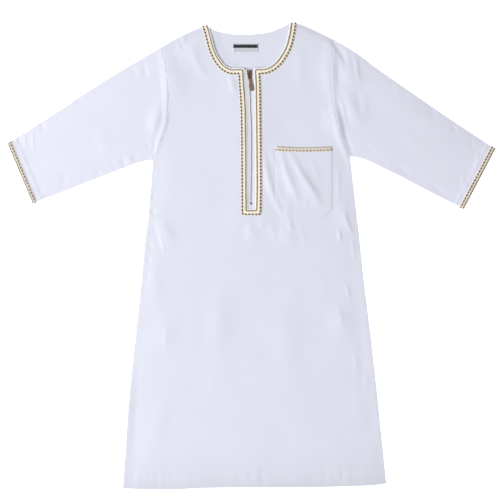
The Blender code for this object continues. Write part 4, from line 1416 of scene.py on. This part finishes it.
def makeLabel():
    low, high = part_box("neck_label")
    middle, rows, columns = (low.x + high.x) / 2, 14, 39
    lines, offsets = [], []
    for f in (k / rows for k in range(rows + 1)):
        run = []
        for share in (n / columns for n in range(columns + 1)):
            x = low.x + (high.x - low.x) * share
            fold = ease((abs(x - middle) - 22.0 * mm) / (2.2 * mm))
            wave = 0.08 * mm * math.sin(2.1 * math.pi * share + 1.0) * math.sin(math.pi * f)
            run.append(Vector((x, low.y + (high.y - low.y) * f,
                               low.z + (0.1 * fold - 0.1) * mm + wave)))
        lines.append(run)
        offsets.append((high.y - low.y) * f)
    piece = stripPiece("neckLabel", lines, offsets, labelSatin, 0.35 * mm)
    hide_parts("neck_label")
    return piece, low, high


neckLabel, labelLow, labelHigh = makeLabel()
print("label made")


# Sewing

stitchLook = {"pitch": 3.1 * mm, "size": (0.24 * mm, 1.22 * mm, 0.2 * mm)}


def sewnPiece(name, lines):   # a row of stitches along each line
    sewn = bmesh.new()
    for line in lines:
        for place, along in evenly(line, stitchLook["pitch"]):
            addGrain(sewn, place, along, up, stitchLook["size"])
    return meshPiece(name, sewn, threads["sewingThread"])


def makeSewing():
    hem = [p + Vector((0, frontLook["hemDepth"], 0)) for p in frontHem[1:-1]]
    rim = [p for p in movedOut(pocketRim, pocketLook["stitchedAt"]) if p.y < 203 * mm]
    foot = placesOf([(x, 86.5) for x in range(-8, 9, 2)])   # below the zip's slot
    rows = {"frontStitches": [laidOn(frontSurface, hem, 0.05 * mm),
                              laidOn(pocketSurface, rim, 0.06 * mm),
                              laidOn(frontSurface, foot, 1.6 * mm)]}
    for side, surface in sleeveSurfaces.items():
        row = across(cuffLine(side, sleeveSheet["cuffHem"]), 1.5 * mm, 60)
        rows["cuffStitches" + side.capitalize()] = [laidOn(surface, row, 0.05 * mm)]
    level = labelLow.z + 0.95 * mm
    rows["labelStitches"] = [
        [Vector((x, labelLow.y + (labelHigh.y - labelLow.y) * k / 8, level)) for k in range(9)]
        for x in (labelLow.x + 1.3 * mm, labelHigh.x - 1.3 * mm)]
    return {name: sewnPiece(name, lines) for name, lines in rows.items()}


stitches = makeSewing()
print("sewing made")


# What each piece of cloth is

cloths = [   # the piece, its flat size and area in metres, what it lies on, what is on it
    (frontPanel, (0.545, 0.945), 0.375, [backPanel],
     [neckRoll, neckRibbon, *neckTrims, stitches["frontStitches"]]),
    (backPanel, (0.545, 0.95), 0.385, [], []),
    (sleeves["right"], (0.385, 0.325), 0.105, [],
     [cuffBraids["right"][0], *cuffBraids["right"][1], stitches["cuffStitchesRight"]]),
    (sleeves["left"], (0.385, 0.325), 0.105, [],
     [cuffBraids["left"][0], *cuffBraids["left"][1], stitches["cuffStitchesLeft"]]),
    (pocket, (0.112, 0.141), 0.0152, [frontPanel], [pocketRibbon, *pocketTrims]),
    (zipTapes[0], (0.0135, 0.285), None, [backPanel], []),
    (zipTapes[1], (0.0135, 0.285), None, [backPanel], []),
    (neckLabel, (0.05, 0.019), None, [backPanel], [stitches["labelStitches"]]),
]
for piece, size, area, below, sewn in cloths:
    upper = sum(f.area for f in piece.data.polygons)
    print(piece.name, "lies over", round(upper, 5), "of", area or size[0] * size[1])


# Camera, floor and light

stageLook = {
    "floor": {"colour": (0.93, 0.93, 0.93), "roughness": 0.9, "glow": 0.9,
              "size": 40.0, "level": -0.4 * mm},
    "lamp": {"place": (-4.4, -0.6, 3.8), "size": 2.9, "power": 366.0},
    "sky": {"Color": (0.97, 0.98, 1.0, 1), "Strength": 0.40},
    "camera": {"place": (-2.9 * mm, 11.7 * mm, 3.253), "lens": 120.0, "sensor": 36.0},
}


def addToScene(name, data, place):
    holder = bpy.data.objects.new(name, data)
    holder.location = place
    bpy.context.scene.collection.objects.link(holder)
    return holder


def makeStage():
    scene = bpy.context.scene
    look = stageLook["floor"]
    bpy.ops.mesh.primitive_plane_add(size=look["size"], location=(0, 0, look["level"]))
    floor = bpy.context.object
    floor.name = "floor"
    paper, _, sockets = newMaterial("floorPaper", look)
    sockets["Emission Color"].default_value = (1, 1, 1, 1)
    sockets["Emission Strength"].default_value = look["glow"]
    floor.data.materials.append(paper)

    world = bpy.data.worlds.new("studio")
    world.use_nodes = True
    for socket, value in stageLook["sky"].items():
        world.node_tree.nodes["Background"].inputs[socket].default_value = value
    scene.world = world

    look = stageLook["lamp"]
    light = bpy.data.lights.new("key", "AREA")
    light.shape = "SQUARE"
    light.size = look["size"]
    light.energy = look["power"]
    lamp = addToScene("key", light, look["place"])
    lamp.rotation_euler = (-Vector(look["place"])).to_track_quat("-Z", "Y").to_euler()

    look = stageLook["camera"]
    eye = bpy.data.cameras.new("camera")
    eye.lens = look["lens"]
    eye.sensor_width = look["sensor"]
    scene.camera = addToScene("camera", eye, look["place"])
    scene.view_settings.view_transform = "Standard"


makeStage()
print("stage set")
